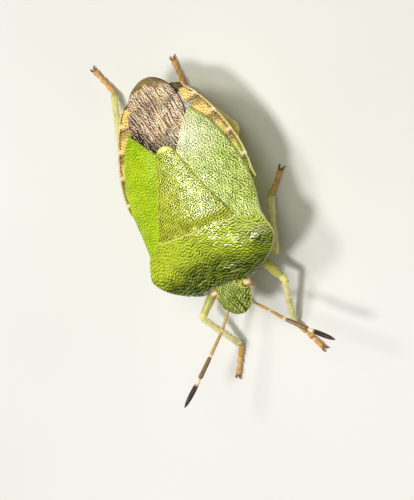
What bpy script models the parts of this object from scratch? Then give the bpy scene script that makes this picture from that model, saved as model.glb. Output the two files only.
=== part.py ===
"""Green shield bug, the adult insect, life size and standing at rest.

The still model of a museum case: head, eyes, beak, feelers, pronotum, scutellum, folded
forewings with their membrane, thorax, abdomen and six legs, each a solid of its own with
a narrow gap to its neighbours.

Every length is in millimetres, and MM turns it into metres where a mesh is made.
The bug's own frame has X towards its left side, Y towards its tail and Z up from the
floor, with X = 0 and Y = 0 under the middle of the scutellum's base. At the end the whole
bug is moved so that the middle of its footprint is the world's origin.
"""

import math

import bmesh
import bpy
from mathutils import Vector

MM = 0.001

# Gaps and thicknesses
GAP = 0.25
EYE_GAP = 0.12
PLATE = 0.50
RIM_ROUNDING = 0.10
COVER = PLATE + GAP

# The back, from the pronotum's front angles to the tail:
# along the body, half width, height on the midline, height at the side edge
BACK = [
    (-3.00, 1.35, 3.66, 3.20),
    (-2.80, 1.80, 3.75, 3.35),
    (-2.50, 2.36, 3.90, 3.55),
    (-2.10, 2.98, 4.08, 3.74),
    (-1.70, 3.40, 4.24, 3.86),
    (-1.25, 3.65, 4.38, 3.93),
    (-0.85, 3.60, 4.48, 3.92),
    (-0.45, 3.44, 4.58, 3.84),
    (0.00, 3.38, 4.65, 3.73),
    (1.00, 3.52, 4.66, 3.56),
    (2.00, 3.68, 4.62, 3.46),
    (2.80, 3.70, 4.56, 3.41),
    (3.60, 3.60, 4.48, 3.38),
    (4.40, 3.38, 4.36, 3.36),
    (5.40, 3.00, 4.12, 3.36),
    (6.10, 2.64, 3.88, 3.37),
    (6.80, 2.20, 3.67, 3.43),
    (7.40, 1.55, 3.50, 3.40),
    (8.30, 0.60, 3.24, 3.18),
]
BACK_CROWN = 2.3

# Pronotum: the shield behind the head
PRONOTUM_FRONT = -2.68
PRONOTUM_FRONT_HOLLOW = 0.20
PRONOTUM_SIDE = (-2.90, -0.45)
PRONOTUM_REAR = 0.02
SCUTELLUM_CORNER = 2.18
CALLUS_PLACE = (0.85, -2.15)
CALLUS_SIZE = 0.42
CALLUS_RISE = 0.05
RIGHT_SHOULDER_AHEAD = 0.30
SHOULDER_TURN_WIDTH = 2.4
SHOULDER_TURN_LENGTH = 1.2

# Scutellum: along the body, half width
SCUTELLUM = [
    (0.27, 2.14),
    (1.00, 1.89),
    (1.60, 1.62),
    (2.30, 1.29),
    (3.00, 1.00),
    (3.60, 0.79),
    (4.10, 0.61),
    (4.45, 0.42),
    (4.63, 0.18),
]
SCUTELLUM_PROUD = 0.06
SCUTELLUM_EDGE_DROP = 0.10

# Forewing, leathery part: its inner edge runs beside the scutellum, its outer edge leaves
# a band of the abdomen bare that widens towards the tail. Each ends along the body at
# its own place, as the left one lies over the right one
WING_INNER = (0.40, 4.18)
WING_OUTER_FRONT = -0.08
WING_OUTER_REAR = {"left": 6.25, "right": 5.78}
WING_INNER_END = 0.62
BARE_BAND = [
    (-0.50, 0.02),
    (1.00, 0.08),
    (1.80, 0.18),
    (2.40, 0.27),
    (3.10, 0.37),
    (3.90, 0.48),
    (4.60, 0.53),
    (5.10, 0.60),
    (5.50, 0.72),
    (5.90, 0.76),
    (6.20, 0.70),
    (6.50, 0.57),
    (6.80, 0.46),
    (7.10, 0.26),
    (7.40, 0.10),
]
CLAVUS_LINE = 0.30
CLAVUS_GROOVE = 0.07

# Membrane: the thin end of the folded forewings
MEMBRANE_FRONT = 4.90
MEMBRANE_FRONT_ROUNDNESS = 0.75
MEMBRANE_ASIDE = -0.15
MEMBRANE_HALF = 1.65
MEMBRANE_WIDEST = 6.05
MEMBRANE_TIP = 8.17
MEMBRANE_ROUNDNESS = {"left": 1.8, "right": 2.2}
MEMBRANE_LEAST = 0.10
MEMBRANE_VEINS = 8
VEIN_RIDGE = 0.07
MEMBRANE_LAP = 0.08
LAP_SLANT = 0.30

# Underside: along the body, height of the keel
THORAX_KEEL = [(-2.62, 1.78), (-2.00, 1.38), (-1.00, 1.22), (0.00, 1.16), (1.62, 1.10)]
ABDOMEN_KEEL = [
    (1.87, 0.95),
    (3.00, 0.72),
    (4.00, 0.72),
    (5.00, 0.84),
    (6.00, 1.14),
    (6.80, 1.60),
    (7.30, 2.02),
]
TAIL_END = 0.16
TAIL_NARROWING = 0.62
KEEL_SHARPNESS = 1.45
THORAX_INSET = 0.12
ABDOMEN_INSET = 0.04
SEGMENT_ENDS = [1.87, 2.72, 4.10, 5.33, 6.47, 7.30]
SEGMENT_NOTCH = 0.07
SEGMENT_STEP = 0.05
RIM_START = 0.20
RIM_WALL = 0.12
RIM_LIFT_FROM = 0.22
RIM_LIFT_OVER = 0.15
RIM_LEAST = 0.06

# Head: along the body, half width, crown height, height of the side edge, throat height
HEAD = [
    (-4.64, 0.32, 2.86, 2.77, 2.54),
    (-4.50, 0.55, 2.93, 2.80, 2.42),
    (-4.35, 0.73, 3.02, 2.84, 2.28),
    (-4.15, 0.87, 3.13, 2.88, 2.14),
    (-3.92, 0.95, 3.26, 2.92, 1.99),
    (-3.68, 0.99, 3.38, 2.96, 1.88),
    (-3.45, 0.98, 3.47, 3.00, 1.84),
    (-3.22, 1.00, 3.52, 3.03, 1.88),
    (-3.02, 0.96, 3.52, 3.05, 2.00),
]
HEAD_TIP_RINGS = [-4.64, -4.58, -4.48, -4.37, -4.22, -4.05]
TYLUS_HALF = 0.20
TYLUS_START = -3.55
TYLUS_GROOVE = 0.16
CHEEK_RIM = 0.16
CHEEK_RIM_PLACE = 0.90
EYE_PLACE = (1.00, -3.18, 3.12)
EYE_RADII = (0.29, 0.24, 0.28)
OCELLUS_PLACE = (0.48, -3.18, 3.42)
OCELLUS_RADIUS = 0.10
TUBERCLE_ROUTE = [(0.43, -3.35, 2.22), (0.55, -3.64, 2.08)]
TUBERCLE_RADIUS = 0.24
BUCCULA_ROUTE = [(0.20, -4.30, 2.36), (0.20, -3.80, 2.00), (0.20, -3.30, 1.92)]
BUCCULA_RADIUS = 0.12

# Beak, folded back under the body between the coxae
BEAK_ROUTE = [
    (0, -4.20, 1.72),
    (0, -3.75, 1.38),
    (0, -2.80, 1.02),
    (0, -1.60, 0.80),
    (0, -0.20, 0.70),
    (0, 0.60, 0.70),
]
BEAK_GIRTH = [
    (0.00, 0.20),
    (0.02, 0.25),
    (0.17, 0.25),
    (0.20, 0.21),
    (0.24, 0.25),
    (0.48, 0.24),
    (0.51, 0.20),
    (0.55, 0.23),
    (0.75, 0.21),
    (0.78, 0.17),
    (0.82, 0.19),
    (1.00, 0.08),
]

# Feelers: five joints of the same lengths on both sides, each with its own heading
# (degrees from straight ahead towards the left side) and rise (degrees)
FEELER_ROOT = (0.58, -3.95, 2.03)
FEELER_LENGTHS = [0.48, 1.22, 1.41, 1.27, 1.65]
FEELER_HEADINGS = {
    "left": [(-12, 4), (59, 30), (61, 37), (47, -5), (56, 13)],
    "right": [(-59, 18), (-35, 17), (-42, 21), (-43, 21), (-45, 23)],
}
FEELER_RADIUS = 0.25
FEELER_WAIST = 0.17
FEELER_TIP = 0.10
FEELER_SHOULDER = 0.10

# Legs: coxa, knee, ankle and foot tip of each leg, with the side's own sign on X
FOOT_LEVEL = 0.22
LEGS = {
    "fore_left": [(0.85, -2.00, 0.95), (2.26, -3.81, 1.65), (1.27, -6.11, 0.40), (2.17, -7.84)],
    "fore_right": [(-0.90, -2.15, 0.95), (-2.90, -4.26, 1.65), (-2.03, -6.30, 0.40), (-2.93, -7.79)],
    "mid_left": [(1.00, -0.30, 0.88), (2.34, -2.32, 1.65), (2.65, 0.38, 0.42), (3.55, 1.40)],
    "mid_right": [(-1.00, -0.30, 0.88), (-3.15, -1.45, 1.75), (-4.20, 0.95, 0.42), (-4.55, 2.20)],
    "hind_left": [(1.25, 1.35, 0.84), (2.70, 4.32, 1.42), (0.33, 7.08, 0.42), (0.21, 8.57)],
    "hind_right": [(-1.25, 1.35, 0.84), (-3.90, 4.45, 1.70), (-3.54, 8.11, 0.42), (-4.25, 9.60)],
}
COXA_RISE = 0.20
JOINT_GAP = 0.13
FOLD_ROOM = 0.62
FEMUR_GIRTH = [
    (0.00, 0.22),
    (0.03, 0.33),
    (0.10, 0.35),
    (0.15, 0.29),
    (0.19, 0.25),
    (0.30, 0.27),
    (0.50, 0.29),
    (0.72, 0.28),
    (0.88, 0.26),
    (0.95, 0.28),
    (0.99, 0.26),
    (1.00, 0.20),
]
TIBIA_GIRTH = [
    (0.00, 0.18),
    (0.02, 0.25),
    (0.08, 0.26),
    (0.15, 0.24),
    (0.50, 0.245),
    (0.80, 0.25),
    (0.94, 0.27),
    (0.99, 0.26),
    (1.00, 0.20),
]
TARSUS_GIRTH = [
    (0.00, 0.18),
    (0.04, 0.25),
    (0.36, 0.26),
    (0.42, 0.21),
    (0.48, 0.25),
    (0.60, 0.25),
    (0.66, 0.21),
    (0.72, 0.25),
    (0.92, 0.25),
    (1.00, 0.18),
]
CLAW_LENGTH = 0.34
CLAW_SPREAD = 24
CLAW_BEND = 0.55
CLAW_ROOT_APART = 0.11
CLAW_SUNK = 0.14
CLAW_DROP = 0.10
CLAW_GIRTH = [(0.00, 0.08), (0.50, 0.08), (1.00, 0.04)]

# Colours: red, green, blue, roughness
FINISHES = {
    "cuticle_green": (0.30, 0.42, 0.06, 0.40),
    "wing_green": (0.34, 0.46, 0.08, 0.38),
    "membrane_brown": (0.23, 0.17, 0.09, 0.22),
    "belly_green": (0.42, 0.50, 0.16, 0.42),
    "leg_green": (0.50, 0.52, 0.14, 0.45),
    "tarsus_orange": (0.55, 0.30, 0.08, 0.45),
    "feeler_red": (0.42, 0.24, 0.12, 0.45),
    "eye_brown": (0.28, 0.14, 0.09, 0.20),
}


def clear_scene():
    """Remove whatever the opened file holds."""
    for item in list(bpy.data.objects):
        bpy.data.objects.remove(item, do_unlink=True)


def new_collection(name):
    """A collection linked to the scene."""
    made = bpy.data.collections.new(name)
    bpy.context.scene.collection.children.link(made)
    return made


def principled(name):
    """The finish of one kind of part."""
    red, green, blue, roughness = FINISHES[name]
    material = bpy.data.materials.get(name) or bpy.data.materials.new(name)
    material.use_nodes = True
    shader = material.node_tree.nodes["Principled BSDF"]
    shader.inputs["Base Color"].default_value = (red, green, blue, 1)
    shader.inputs["Metallic"].default_value = 0
    shader.inputs["Roughness"].default_value = roughness
    return material


def along(stations, place):
    """The values at a place between stations, on a smooth curve through them all."""
    last = len(stations) - 1
    step = 0
    while step < last - 1 and place > stations[step + 1][0]:
        step += 1
    start, end = stations[step], stations[step + 1]
    before = stations[max(step - 1, 0)]
    after = stations[min(step + 2, last)]
    width = end[0] - start[0]
    share = min(max((place - start[0]) / width, 0), 1)
    values = []
    for index in range(1, len(start)):
        slope_in = (end[index] - before[index]) / (end[0] - before[0]) * width
        slope_out = (after[index] - start[index]) / (after[0] - start[0]) * width
        values.append(
            start[index] * (1 + 2 * share) * (1 - share) ** 2
            + slope_in * share * (1 - share) ** 2
            + end[index] * share**2 * (3 - 2 * share)
            + slope_out * share**2 * (share - 1)
        )
    return values


def blend(low, high, share):
    """A value between two others."""
    return low + (high - low) * share


def ease(share):
    """0 to 1 with a soft start and end."""
    share = min(max(share, 0), 1)
    return share * share * (3 - 2 * share)


def spaced(low, high, count):
    """Evenly spaced values, both ends included."""
    return [blend(low, high, index / (count - 1)) for index in range(count)]


def back_height(x, y):
    """Height of the bug's back above the floor."""
    half, crest, edge = along(BACK, y)
    return crest - (crest - edge) * min(abs(x) / half, 1) ** BACK_CROWN


def mesh_object(name, bm, finish, collection):
    """An object from a bmesh in millimetres, with its finish and smooth shading."""
    bmesh.ops.scale(bm, vec=Vector((MM, MM, MM)), verts=bm.verts)
    bmesh.ops.recalc_face_normals(bm, faces=bm.faces)
    mesh = bpy.data.meshes.new(name)
    bm.to_mesh(mesh)
    bm.free()
    return named_object(name, mesh, finish, collection)


def named_object(name, mesh, finish, collection):
    """An object that holds the mesh, smooth but for its sharp edges."""
    mesh.materials.clear()
    mesh.materials.append(principled(finish))
    mesh.shade_smooth()
    mesh.set_sharp_from_angle(angle=math.radians(40))
    made = bpy.data.objects.new(name, mesh)
    collection.objects.link(made)
    return made


def plate(name, place, columns, rows, finish, collection):
    """A plate of cuticle: a grid bent to its outline and crown, then thickened downwards.

    place(across, back) gives a point for across from -1 to 1 and back from 0 to 1.
    """
    bm = bmesh.new()
    bmesh.ops.create_grid(bm, x_segments=columns, y_segments=rows, size=1)
    for vertex in bm.verts:
        vertex.co = Vector(place(vertex.co.x, (vertex.co.y + 1) / 2))
    bmesh.ops.scale(bm, vec=Vector((MM, MM, MM)), verts=bm.verts)
    bm.normal_update()
    if sum(face.normal.z for face in bm.faces) < 0:
        bmesh.ops.reverse_faces(bm, faces=bm.faces)
    mesh = bpy.data.meshes.new(name)
    bm.to_mesh(mesh)
    bm.free()
    made = named_object(name, mesh, finish, collection)
    thicken = made.modifiers.new("thickness", "SOLIDIFY")
    thicken.thickness = PLATE * MM
    thicken.offset = -1
    rounding = made.modifiers.new("rounded rim", "BEVEL")
    rounding.width = RIM_ROUNDING * MM
    rounding.segments = 1
    rounding.limit_method = "ANGLE"
    rounding.angle_limit = math.radians(50)
    return made


def loft(name, rings, finish, collection):
    """A closed body through rings with as many points each, flat at both ends."""
    bm = bmesh.new()
    loops = [[bm.verts.new(Vector(point)) for point in ring] for ring in rings]
    count = len(loops[0])
    for here, there in zip(loops, loops[1:]):
        for index in range(count):
            after = (index + 1) % count
            bm.faces.new((here[index], here[after], there[after], there[index]))
    bm.faces.new(loops[0])
    bm.faces.new(reversed(loops[-1]))
    return mesh_object(name, bm, finish, collection)


def smooth_route(points, share):
    """A point at a share of the length of the smooth curve through some points."""
    lengths = [0]
    for here, there in zip(points, points[1:]):
        lengths.append(lengths[-1] + (Vector(there) - Vector(here)).length)
    stations = [(length, *point) for length, point in zip(lengths, points)]
    return Vector(along(stations, share * lengths[-1]))


def limb(name, route, girth, finish, collection, roundness=2):
    """A limb: a curve along a route, whose bevel swells and narrows, made a closed mesh."""
    curve = bpy.data.curves.new(name, "CURVE")
    curve.dimensions = "3D"
    curve.bevel_depth = MM
    curve.bevel_resolution = roundness
    curve.use_fill_caps = True
    curve.twist_mode = "MINIMUM"
    spline = curve.splines.new("POLY")
    spline.points.add(len(girth) - 1)
    for knot, (share, radius) in zip(spline.points, girth):
        knot.co = (*(smooth_route(route, share) * MM), 1)
        knot.radius = radius
    drawn = bpy.data.objects.new(name + "_curve", curve)
    collection.objects.link(drawn)
    bpy.context.view_layer.update()
    evaluated = drawn.evaluated_get(bpy.context.evaluated_depsgraph_get())
    mesh = bpy.data.meshes.new_from_object(evaluated)
    mesh.transform(drawn.matrix_world)
    bpy.data.objects.remove(drawn, do_unlink=True)
    bm = bmesh.new()
    bm.from_mesh(mesh)
    bmesh.ops.remove_doubles(bm, verts=bm.verts, dist=0.001 * MM)
    bmesh.ops.recalc_face_normals(bm, faces=bm.faces)
    bm.to_mesh(mesh)
    bm.free()
    mesh.name = name
    return named_object(name, mesh, finish, collection)


def ball(name, place, radii, finish, collection):
    """An ellipsoid, with its size applied to its mesh."""
    bm = bmesh.new()
    bmesh.ops.create_uvsphere(bm, u_segments=16, v_segments=10, radius=1)
    bmesh.ops.scale(bm, vec=Vector(radii), verts=bm.verts)
    bmesh.ops.translate(bm, vec=Vector(place), verts=bm.verts)
    return mesh_object(name, bm, finish, collection)


def apply_modifiers(item):
    """Give the object the mesh that its modifiers make."""
    bpy.context.view_layer.update()
    evaluated = item.evaluated_get(bpy.context.evaluated_depsgraph_get())
    made = bpy.data.meshes.new_from_object(evaluated)
    item.modifiers.clear()
    item.data = made


def keep_largest(item):
    """Delete all but the largest closed surface of the object's mesh."""
    bm = bmesh.new()
    bm.from_mesh(item.data)
    unseen = set(bm.verts)
    shells = []
    while unseen:
        shell = {unseen.pop()}
        edge_of_shell = list(shell)
        while edge_of_shell:
            vertex = edge_of_shell.pop()
            for link in vertex.link_edges:
                other = link.other_vert(vertex)
                if other in unseen:
                    unseen.discard(other)
                    shell.add(other)
                    edge_of_shell.append(other)
        shells.append(shell)
    largest = max(shells, key=len)
    scraps = [vertex for vertex in bm.verts if vertex not in largest]
    bmesh.ops.delete(bm, geom=scraps, context="VERTS")
    bm.to_mesh(item.data)
    bm.free()


def fuse(item, pieces):
    """Join pieces to the object in one union, and remove the pieces."""
    group = new_collection(item.name + "_pieces")
    for piece in pieces:
        for holder in list(piece.users_collection):
            holder.objects.unlink(piece)
        group.objects.link(piece)
    union = item.modifiers.new("union", "BOOLEAN")
    union.operation = "UNION"
    union.operand_type = "COLLECTION"
    union.collection = group
    apply_modifiers(item)
    for piece in pieces:
        bpy.data.objects.remove(piece, do_unlink=True)
    bpy.data.collections.remove(group)
    keep_largest(item)


def cut(item, cutter):
    """Take the cutter's shape out of the object, and keep the cut as a modifier."""
    taking = item.modifiers.new("cut by " + cutter.name, "BOOLEAN")
    taking.operation = "DIFFERENCE"
    taking.object = cutter


def as_cutter(item, cutters):
    """Put a shape among the cutters, drawn as wire and never rendered."""
    for holder in list(item.users_collection):
        holder.objects.unlink(item)
    cutters.objects.link(item)
    item.display_type = "WIRE"
    item.hide_render = True
    return item


def mirrored(point, side):
    """A point given for the left side, on the named side."""
    sign = 1 if side == "left" else -1
    return (sign * point[0], *point[1:])


def make_pronotum(bug):
    """The broad shield behind the head, hollowed in front and highest at its rear edge.

    The bug turns its shoulders a little to its left, so the right one lies further ahead.
    """

    def place(across, back):
        side_y = blend(*PRONOTUM_SIDE, back)
        half = along(BACK, side_y)[0]
        x = across * half
        front = PRONOTUM_FRONT - PRONOTUM_FRONT_HOLLOW * across * across
        shoulder = (abs(x) - SCUTELLUM_CORNER) / (half - SCUTELLUM_CORNER)
        rear = blend(PRONOTUM_REAR, PRONOTUM_SIDE[1], ease(shoulder) if half > SCUTELLUM_CORNER else 0)
        y = blend(front, rear, back)
        reach = math.hypot(abs(x) - CALLUS_PLACE[0], y - CALLUS_PLACE[1]) / CALLUS_SIZE
        height = back_height(x, y) + CALLUS_RISE * ease(1 - reach)
        turned = ease(-x / SHOULDER_TURN_WIDTH) * ease(-y / SHOULDER_TURN_LENGTH)
        return x, y - RIGHT_SHOULDER_AHEAD * turned, height

    return plate("pronotum", place, 20, 10, "cuticle_green", bug)


def make_scutellum(bug):
    """The triangular shield between the forewings, with a blunt tip."""
    front, rear = SCUTELLUM[0][0], SCUTELLUM[-1][0]

    def place(across, back):
        y = blend(front, rear, back)
        x = across * along(SCUTELLUM, y)[0]
        proud = SCUTELLUM_PROUD - SCUTELLUM_EDGE_DROP * across * across
        return x, y, back_height(x, y) + proud

    return plate("scutellum", place, 8, 12, "cuticle_green", bug)


def wing_edge(y):
    """Half width of the closed wings."""
    return along(BACK, y)[0] - along(BARE_BAND, y)[0]


def wing_end(side):
    """The slanting end of a forewing's leathery part: its inner corner and its slope."""
    outer_y = WING_OUTER_REAR[side]
    slope = (outer_y - WING_INNER[1]) / (wing_edge(outer_y) - WING_INNER_END)
    return WING_INNER_END, WING_INNER[1], slope


def make_forewing(side, bug):
    """The leathery part of a folded forewing, with the groove that bounds its clavus."""

    def place(across, back):
        outward = (across + 1) / 2
        inner_y = blend(*WING_INNER, back)
        inner_x = max(along(SCUTELLUM, inner_y)[0] + GAP, WING_INNER_END)
        outer_y = blend(WING_OUTER_FRONT, WING_OUTER_REAR[side], back)
        outer_x = wing_edge(outer_y)
        x = blend(inner_x, outer_x, outward)
        y = blend(inner_y, outer_y, outward)
        groove = CLAVUS_GROOVE * ease(1 - abs(outward - CLAVUS_LINE) * 8) * ease(3 - 3 * back)
        return (*mirrored((x, y), side), back_height(x, y) - groove)

    return plate("forewing_" + side, place, 10, 14, "wing_green", bug)


def make_membrane(bug):
    """The glossy ends of both forewings, one lapped over the other, with raised veins."""

    def place(across, back):
        x = MEMBRANE_ASIDE + across * MEMBRANE_HALF
        side = "left" if x > 0 else "right"
        seam_x, seam_y, slope = wing_end(side)
        room = GAP * math.hypot(1, slope)
        beside_scutellum = MEMBRANE_FRONT - MEMBRANE_FRONT_ROUNDNESS * x * x
        beside_wing = seam_y + slope * (abs(x) - seam_x) + room
        front = max(beside_scutellum, beside_wing)
        round_end = math.sqrt(max(1 - abs(across) ** MEMBRANE_ROUNDNESS[side], 0))
        rear = max(blend(MEMBRANE_WIDEST, MEMBRANE_TIP, round_end), front + MEMBRANE_LEAST)
        y = blend(front, rear, back)
        height = back_height(x, y)
        vein = math.cos(math.pi * MEMBRANE_VEINS * (across + 1)) * 0.5 + 0.5
        fade = ease(4 * back) * ease(4 - 4 * back) * ease(4 - 4 * abs(across))
        lap = MEMBRANE_LAP * ease(5 * (across + LAP_SLANT * (1 - back)) + 0.5)
        return x, y, height + VEIN_RIDGE * vein * fade - lap * ease(3 * back)

    return plate("wing_membrane", place, 4 * MEMBRANE_VEINS, 8, "membrane_brown", bug)


def body_ring(y, half, edge, keel, roof):
    """One cross-section of the trunk: a roof of points, then the slanting underside."""
    ring = [(half * share, y, roof(half * share, y)) for share in spaced(1, -1, 13)]
    ring[0] = (half, y, edge)
    ring[-1] = (-half, y, edge)
    for share in spaced(-1, 1, 13)[1:-1]:
        depth = (edge - keel) * (1 - abs(share) ** KEEL_SHARPNESS)
        ring.append((half * share, y, edge - depth))
    return ring


def make_thorax(bug):
    """The trunk under the pronotum and the wing bases, from neck to waist."""

    def roof(x, y):
        return back_height(x, y) - COVER

    rings = []
    for y in spaced(THORAX_KEEL[0][0], THORAX_KEEL[-1][0], 11):
        half, _, edge = along(BACK, y)
        half -= THORAX_INSET + (GAP if y < PRONOTUM_SIDE[0] + GAP else 0)
        rings.append(body_ring(y, half, edge - COVER, along(THORAX_KEEL, y)[0], roof))
    return loft("thorax", rings, "belly_green", bug)


def segment_swell(y):
    """0 at a joint between two rings of the abdomen, 1 midway between joints."""
    for start, end in zip(SEGMENT_ENDS, SEGMENT_ENDS[1:]):
        if start <= y <= end:
            return math.sqrt(max(math.sin(math.pi * (y - start) / (end - start)), 0))
    return 0


def make_abdomen(bug):
    """The abdomen: a boat-shaped underside, a raised and notched rim, and a floor on
    which the folded wings lie."""

    def roof(x, y):
        rim = back_height(x, y)
        wall_foot = wing_edge(y) + RIM_START - RIM_WALL
        return blend(rim - COVER, rim, ease((abs(x) - wall_foot) / RIM_WALL))

    places = []
    for start, end in zip(SEGMENT_ENDS, SEGMENT_ENDS[1:]):
        places += spaced(start, end, 4)[:-1]
    places.append(SEGMENT_ENDS[-1])
    rings = []
    for y in places:
        half, _, edge = along(BACK, y)
        swell = segment_swell(y)
        bare = along(BARE_BAND, y)[0]
        half -= ABDOMEN_INSET + SEGMENT_NOTCH * (1 - swell)
        lift = ease((bare - RIM_LIFT_FROM) / RIM_LIFT_OVER)
        keel = along(ABDOMEN_KEEL, y)[0] + SEGMENT_STEP * (1 - swell)
        rings.append(abdomen_ring(y, half, blend(edge - COVER, edge, lift), keel, roof))
    low = min(point[2] for point in rings[-1])
    high = max(point[2] for point in rings[-1])
    middle = (low + high) / 2
    rings.append(
        [
            (x * TAIL_NARROWING, y + TAIL_END, blend(middle, z, TAIL_NARROWING))
            for x, y, z in rings[-1]
        ]
    )
    return loft("abdomen", rings, "belly_green", bug)


def abdomen_ring(y, half, edge, keel, roof):
    """A cross-section of the abdomen, with a wall between the rim and the wings' floor."""
    wall_top = min(wing_edge(y) + RIM_START, half - RIM_LEAST)
    wall_foot = wall_top - RIM_WALL
    left_side = [half, wall_top] + [share * wall_foot for share in spaced(1, 0, 6)]
    roof_points = [(x, y, roof(x, y)) for x in left_side]
    roof_points[0] = (half, y, edge)
    roof_points[1] = (wall_top, y, min(roof(wall_top, y), edge + RIM_LEAST))
    roof_points += [(-x, y, z) for x, y, z in reversed(roof_points[:-1])]
    for share in spaced(-1, 1, 13)[1:-1]:
        depth = (edge - keel) * (1 - abs(share) ** KEEL_SHARPNESS)
        roof_points.append((half * share, y, edge - depth))
    return roof_points


def head_ring(y):
    """One cross-section of the head, with the grooves beside its middle lobe."""
    half, crown, edge, throat = along(HEAD, y)
    groove = min(TYLUS_HALF, 0.40 * half)
    rim = CHEEK_RIM_PLACE * half
    left_side = [half, rim, 0.75 * half, 0.60 * half, 1.3 * groove, groove, 0.6 * groove]
    front = ease((TYLUS_START - y) / 0.3)
    upper = []
    for x in left_side + [0] + [-x for x in reversed(left_side)]:
        height = edge + (crown - edge) * (1 - (abs(x) / half) ** 2.4)
        if abs(x) == groove:
            height -= TYLUS_GROOVE * (crown - edge) * front
        if abs(x) == rim:
            height -= CHEEK_RIM * (crown - edge) * front
        upper.append((x, y, height))
    lower = []
    for share in spaced(-1, 1, 9)[1:-1]:
        lower.append((half * share, y, edge - (edge - throat) * (1 - share * share)))
    return upper + lower


def make_head(bug, cutters):
    """The head: a broad wedge with a middle lobe, cheeks, ocelli, feeler knobs and the
    two ridges that hold the beak's root, and a seat for each eye."""
    rear = HEAD[-1][0]
    rings = [head_ring(y) for y in HEAD_TIP_RINGS + spaced(HEAD_TIP_RINGS[-1], rear, 8)[1:]]
    head = loft("head", rings, "cuticle_green", bug)
    pieces = []
    for side in ("left", "right"):
        pieces.append(
            ball("ocellus_" + side, mirrored(OCELLUS_PLACE, side), [OCELLUS_RADIUS] * 3, "eye_brown", bug)
        )
        for word, route, radius in (
            ("tubercle_", TUBERCLE_ROUTE, TUBERCLE_RADIUS),
            ("buccula_", BUCCULA_ROUTE, BUCCULA_RADIUS),
        ):
            girth = [(0, 0.8 * radius), (0.3, radius), (0.8, radius), (1, 0.7 * radius)]
            points = [mirrored(point, side) for point in route]
            pieces.append(limb(word + side, points, girth, "cuticle_green", bug))
    fuse(head, pieces)
    for side in ("left", "right"):
        radii = [radius + EYE_GAP for radius in EYE_RADII]
        seat = ball("eye_seat_" + side, mirrored(EYE_PLACE, side), radii, "eye_brown", bug)
        cut(head, as_cutter(seat, cutters))
    return head


def heading(turn, rise):
    """A direction from a turn off straight ahead towards the left, and a rise."""
    turn, rise = math.radians(turn), math.radians(rise)
    return Vector((math.sin(turn) * math.cos(rise), -math.cos(turn) * math.cos(rise), math.sin(rise)))


def make_feeler(side, bug):
    """A feeler of five joints, narrowed between them."""
    route = [Vector(mirrored(FEELER_ROOT, side))]
    for length, angles in zip(FEELER_LENGTHS, FEELER_HEADINGS[side]):
        route.append(route[-1] + heading(*angles) * length)
    total = sum(FEELER_LENGTHS)
    girth = [(0, FEELER_WAIST)]
    done = 0
    for index, length in enumerate(FEELER_LENGTHS):
        last = index == len(FEELER_LENGTHS) - 1
        for share in (FEELER_SHOULDER / length, 0.5, 1 - FEELER_SHOULDER / length):
            girth.append(((done + share * length) / total, FEELER_RADIUS))
        done += length
        girth.append((done / total, FEELER_TIP if last else FEELER_WAIST))
    return limb("feeler_" + side, [tuple(point) for point in route], girth, "feeler_red", bug)


def shortened(start, end, cut_start, cut_end):
    """The ends of a straight stretch with a piece taken off each end."""
    start, end = Vector(start), Vector(end)
    way = (end - start).normalized()
    return start + way * cut_start, end - way * cut_end


def thigh_end_beside(coxa, knee, ankle):
    """Where the femur stops: short of the knee, and beside the shin where the knee is folded."""
    to_coxa = (Vector(coxa) - Vector(knee)).normalized()
    to_ankle = (Vector(ankle) - Vector(knee)).normalized()
    fold = max(to_coxa.dot(to_ankle), 0)
    beside = (to_ankle - to_coxa * to_ankle.dot(to_coxa)).normalized()
    return Vector(knee) + to_coxa * JOINT_GAP - beside * FOLD_ROOM * fold


def make_leg(name, points, floor, bug):
    """A leg of three solids: coxa with femur, tibia, and tarsus with its two claws."""
    coxa, knee, ankle, tip = points
    above_coxa = (coxa[0], coxa[1], coxa[2] + COXA_RISE)
    thigh_end = thigh_end_beside(coxa, knee, ankle)
    route = [above_coxa, coxa, thigh_end]
    limb("leg_" + name + "_femur", route, FEMUR_GIRTH, "leg_green", bug, 3)
    shin = shortened(knee, ankle, JOINT_GAP, JOINT_GAP)
    limb("leg_" + name + "_tibia", shin, TIBIA_GIRTH, "leg_green", bug, 2)
    toe = Vector((tip[0], tip[1], FOOT_LEVEL))
    heel, _ = shortened(ankle, toe, JOINT_GAP, 0)
    heel.z = ankle[2] * 0.5 + FOOT_LEVEL * 0.5
    middle = heel.lerp(toe, 0.4)
    middle.z = FOOT_LEVEL
    tarsus = limb("leg_" + name + "_tarsus", [heel, middle, toe], TARSUS_GIRTH, "tarsus_orange", bug)
    way = (toe - middle).normalized()
    claws = []
    for sign in (1, -1):
        angle = math.radians(CLAW_SPREAD) * sign
        outward = Vector(
            (
                way.x * math.cos(angle) - way.y * math.sin(angle),
                way.x * math.sin(angle) + way.y * math.cos(angle),
                0,
            )
        )
        beside = Vector((-way.y, way.x, 0)) * CLAW_ROOT_APART * sign
        root = toe + beside - way * CLAW_SUNK
        bend = toe + beside + outward * CLAW_LENGTH * CLAW_BEND
        end = toe + beside + outward * CLAW_LENGTH - Vector((0, 0, CLAW_DROP))
        claws.append(limb("claw", [root, bend, end], CLAW_GIRTH, "tarsus_orange", bug, 1))
    fuse(tarsus, claws)
    cut(tarsus, floor)


def make_floor_cutter(cutters):
    """A slab below the feet that trims each of them to a small flat."""
    bpy.ops.mesh.primitive_cube_add(size=1)
    slab = bpy.context.object
    slab.name = "floor_trim"
    slab.dimensions = (30 * MM, 30 * MM, 2 * MM)
    slab.location = (0, 0, -1 * MM)
    bpy.context.view_layer.update()
    slab.data.transform(slab.matrix_world)
    slab.matrix_world.identity()
    return as_cutter(slab, cutters)


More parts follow.
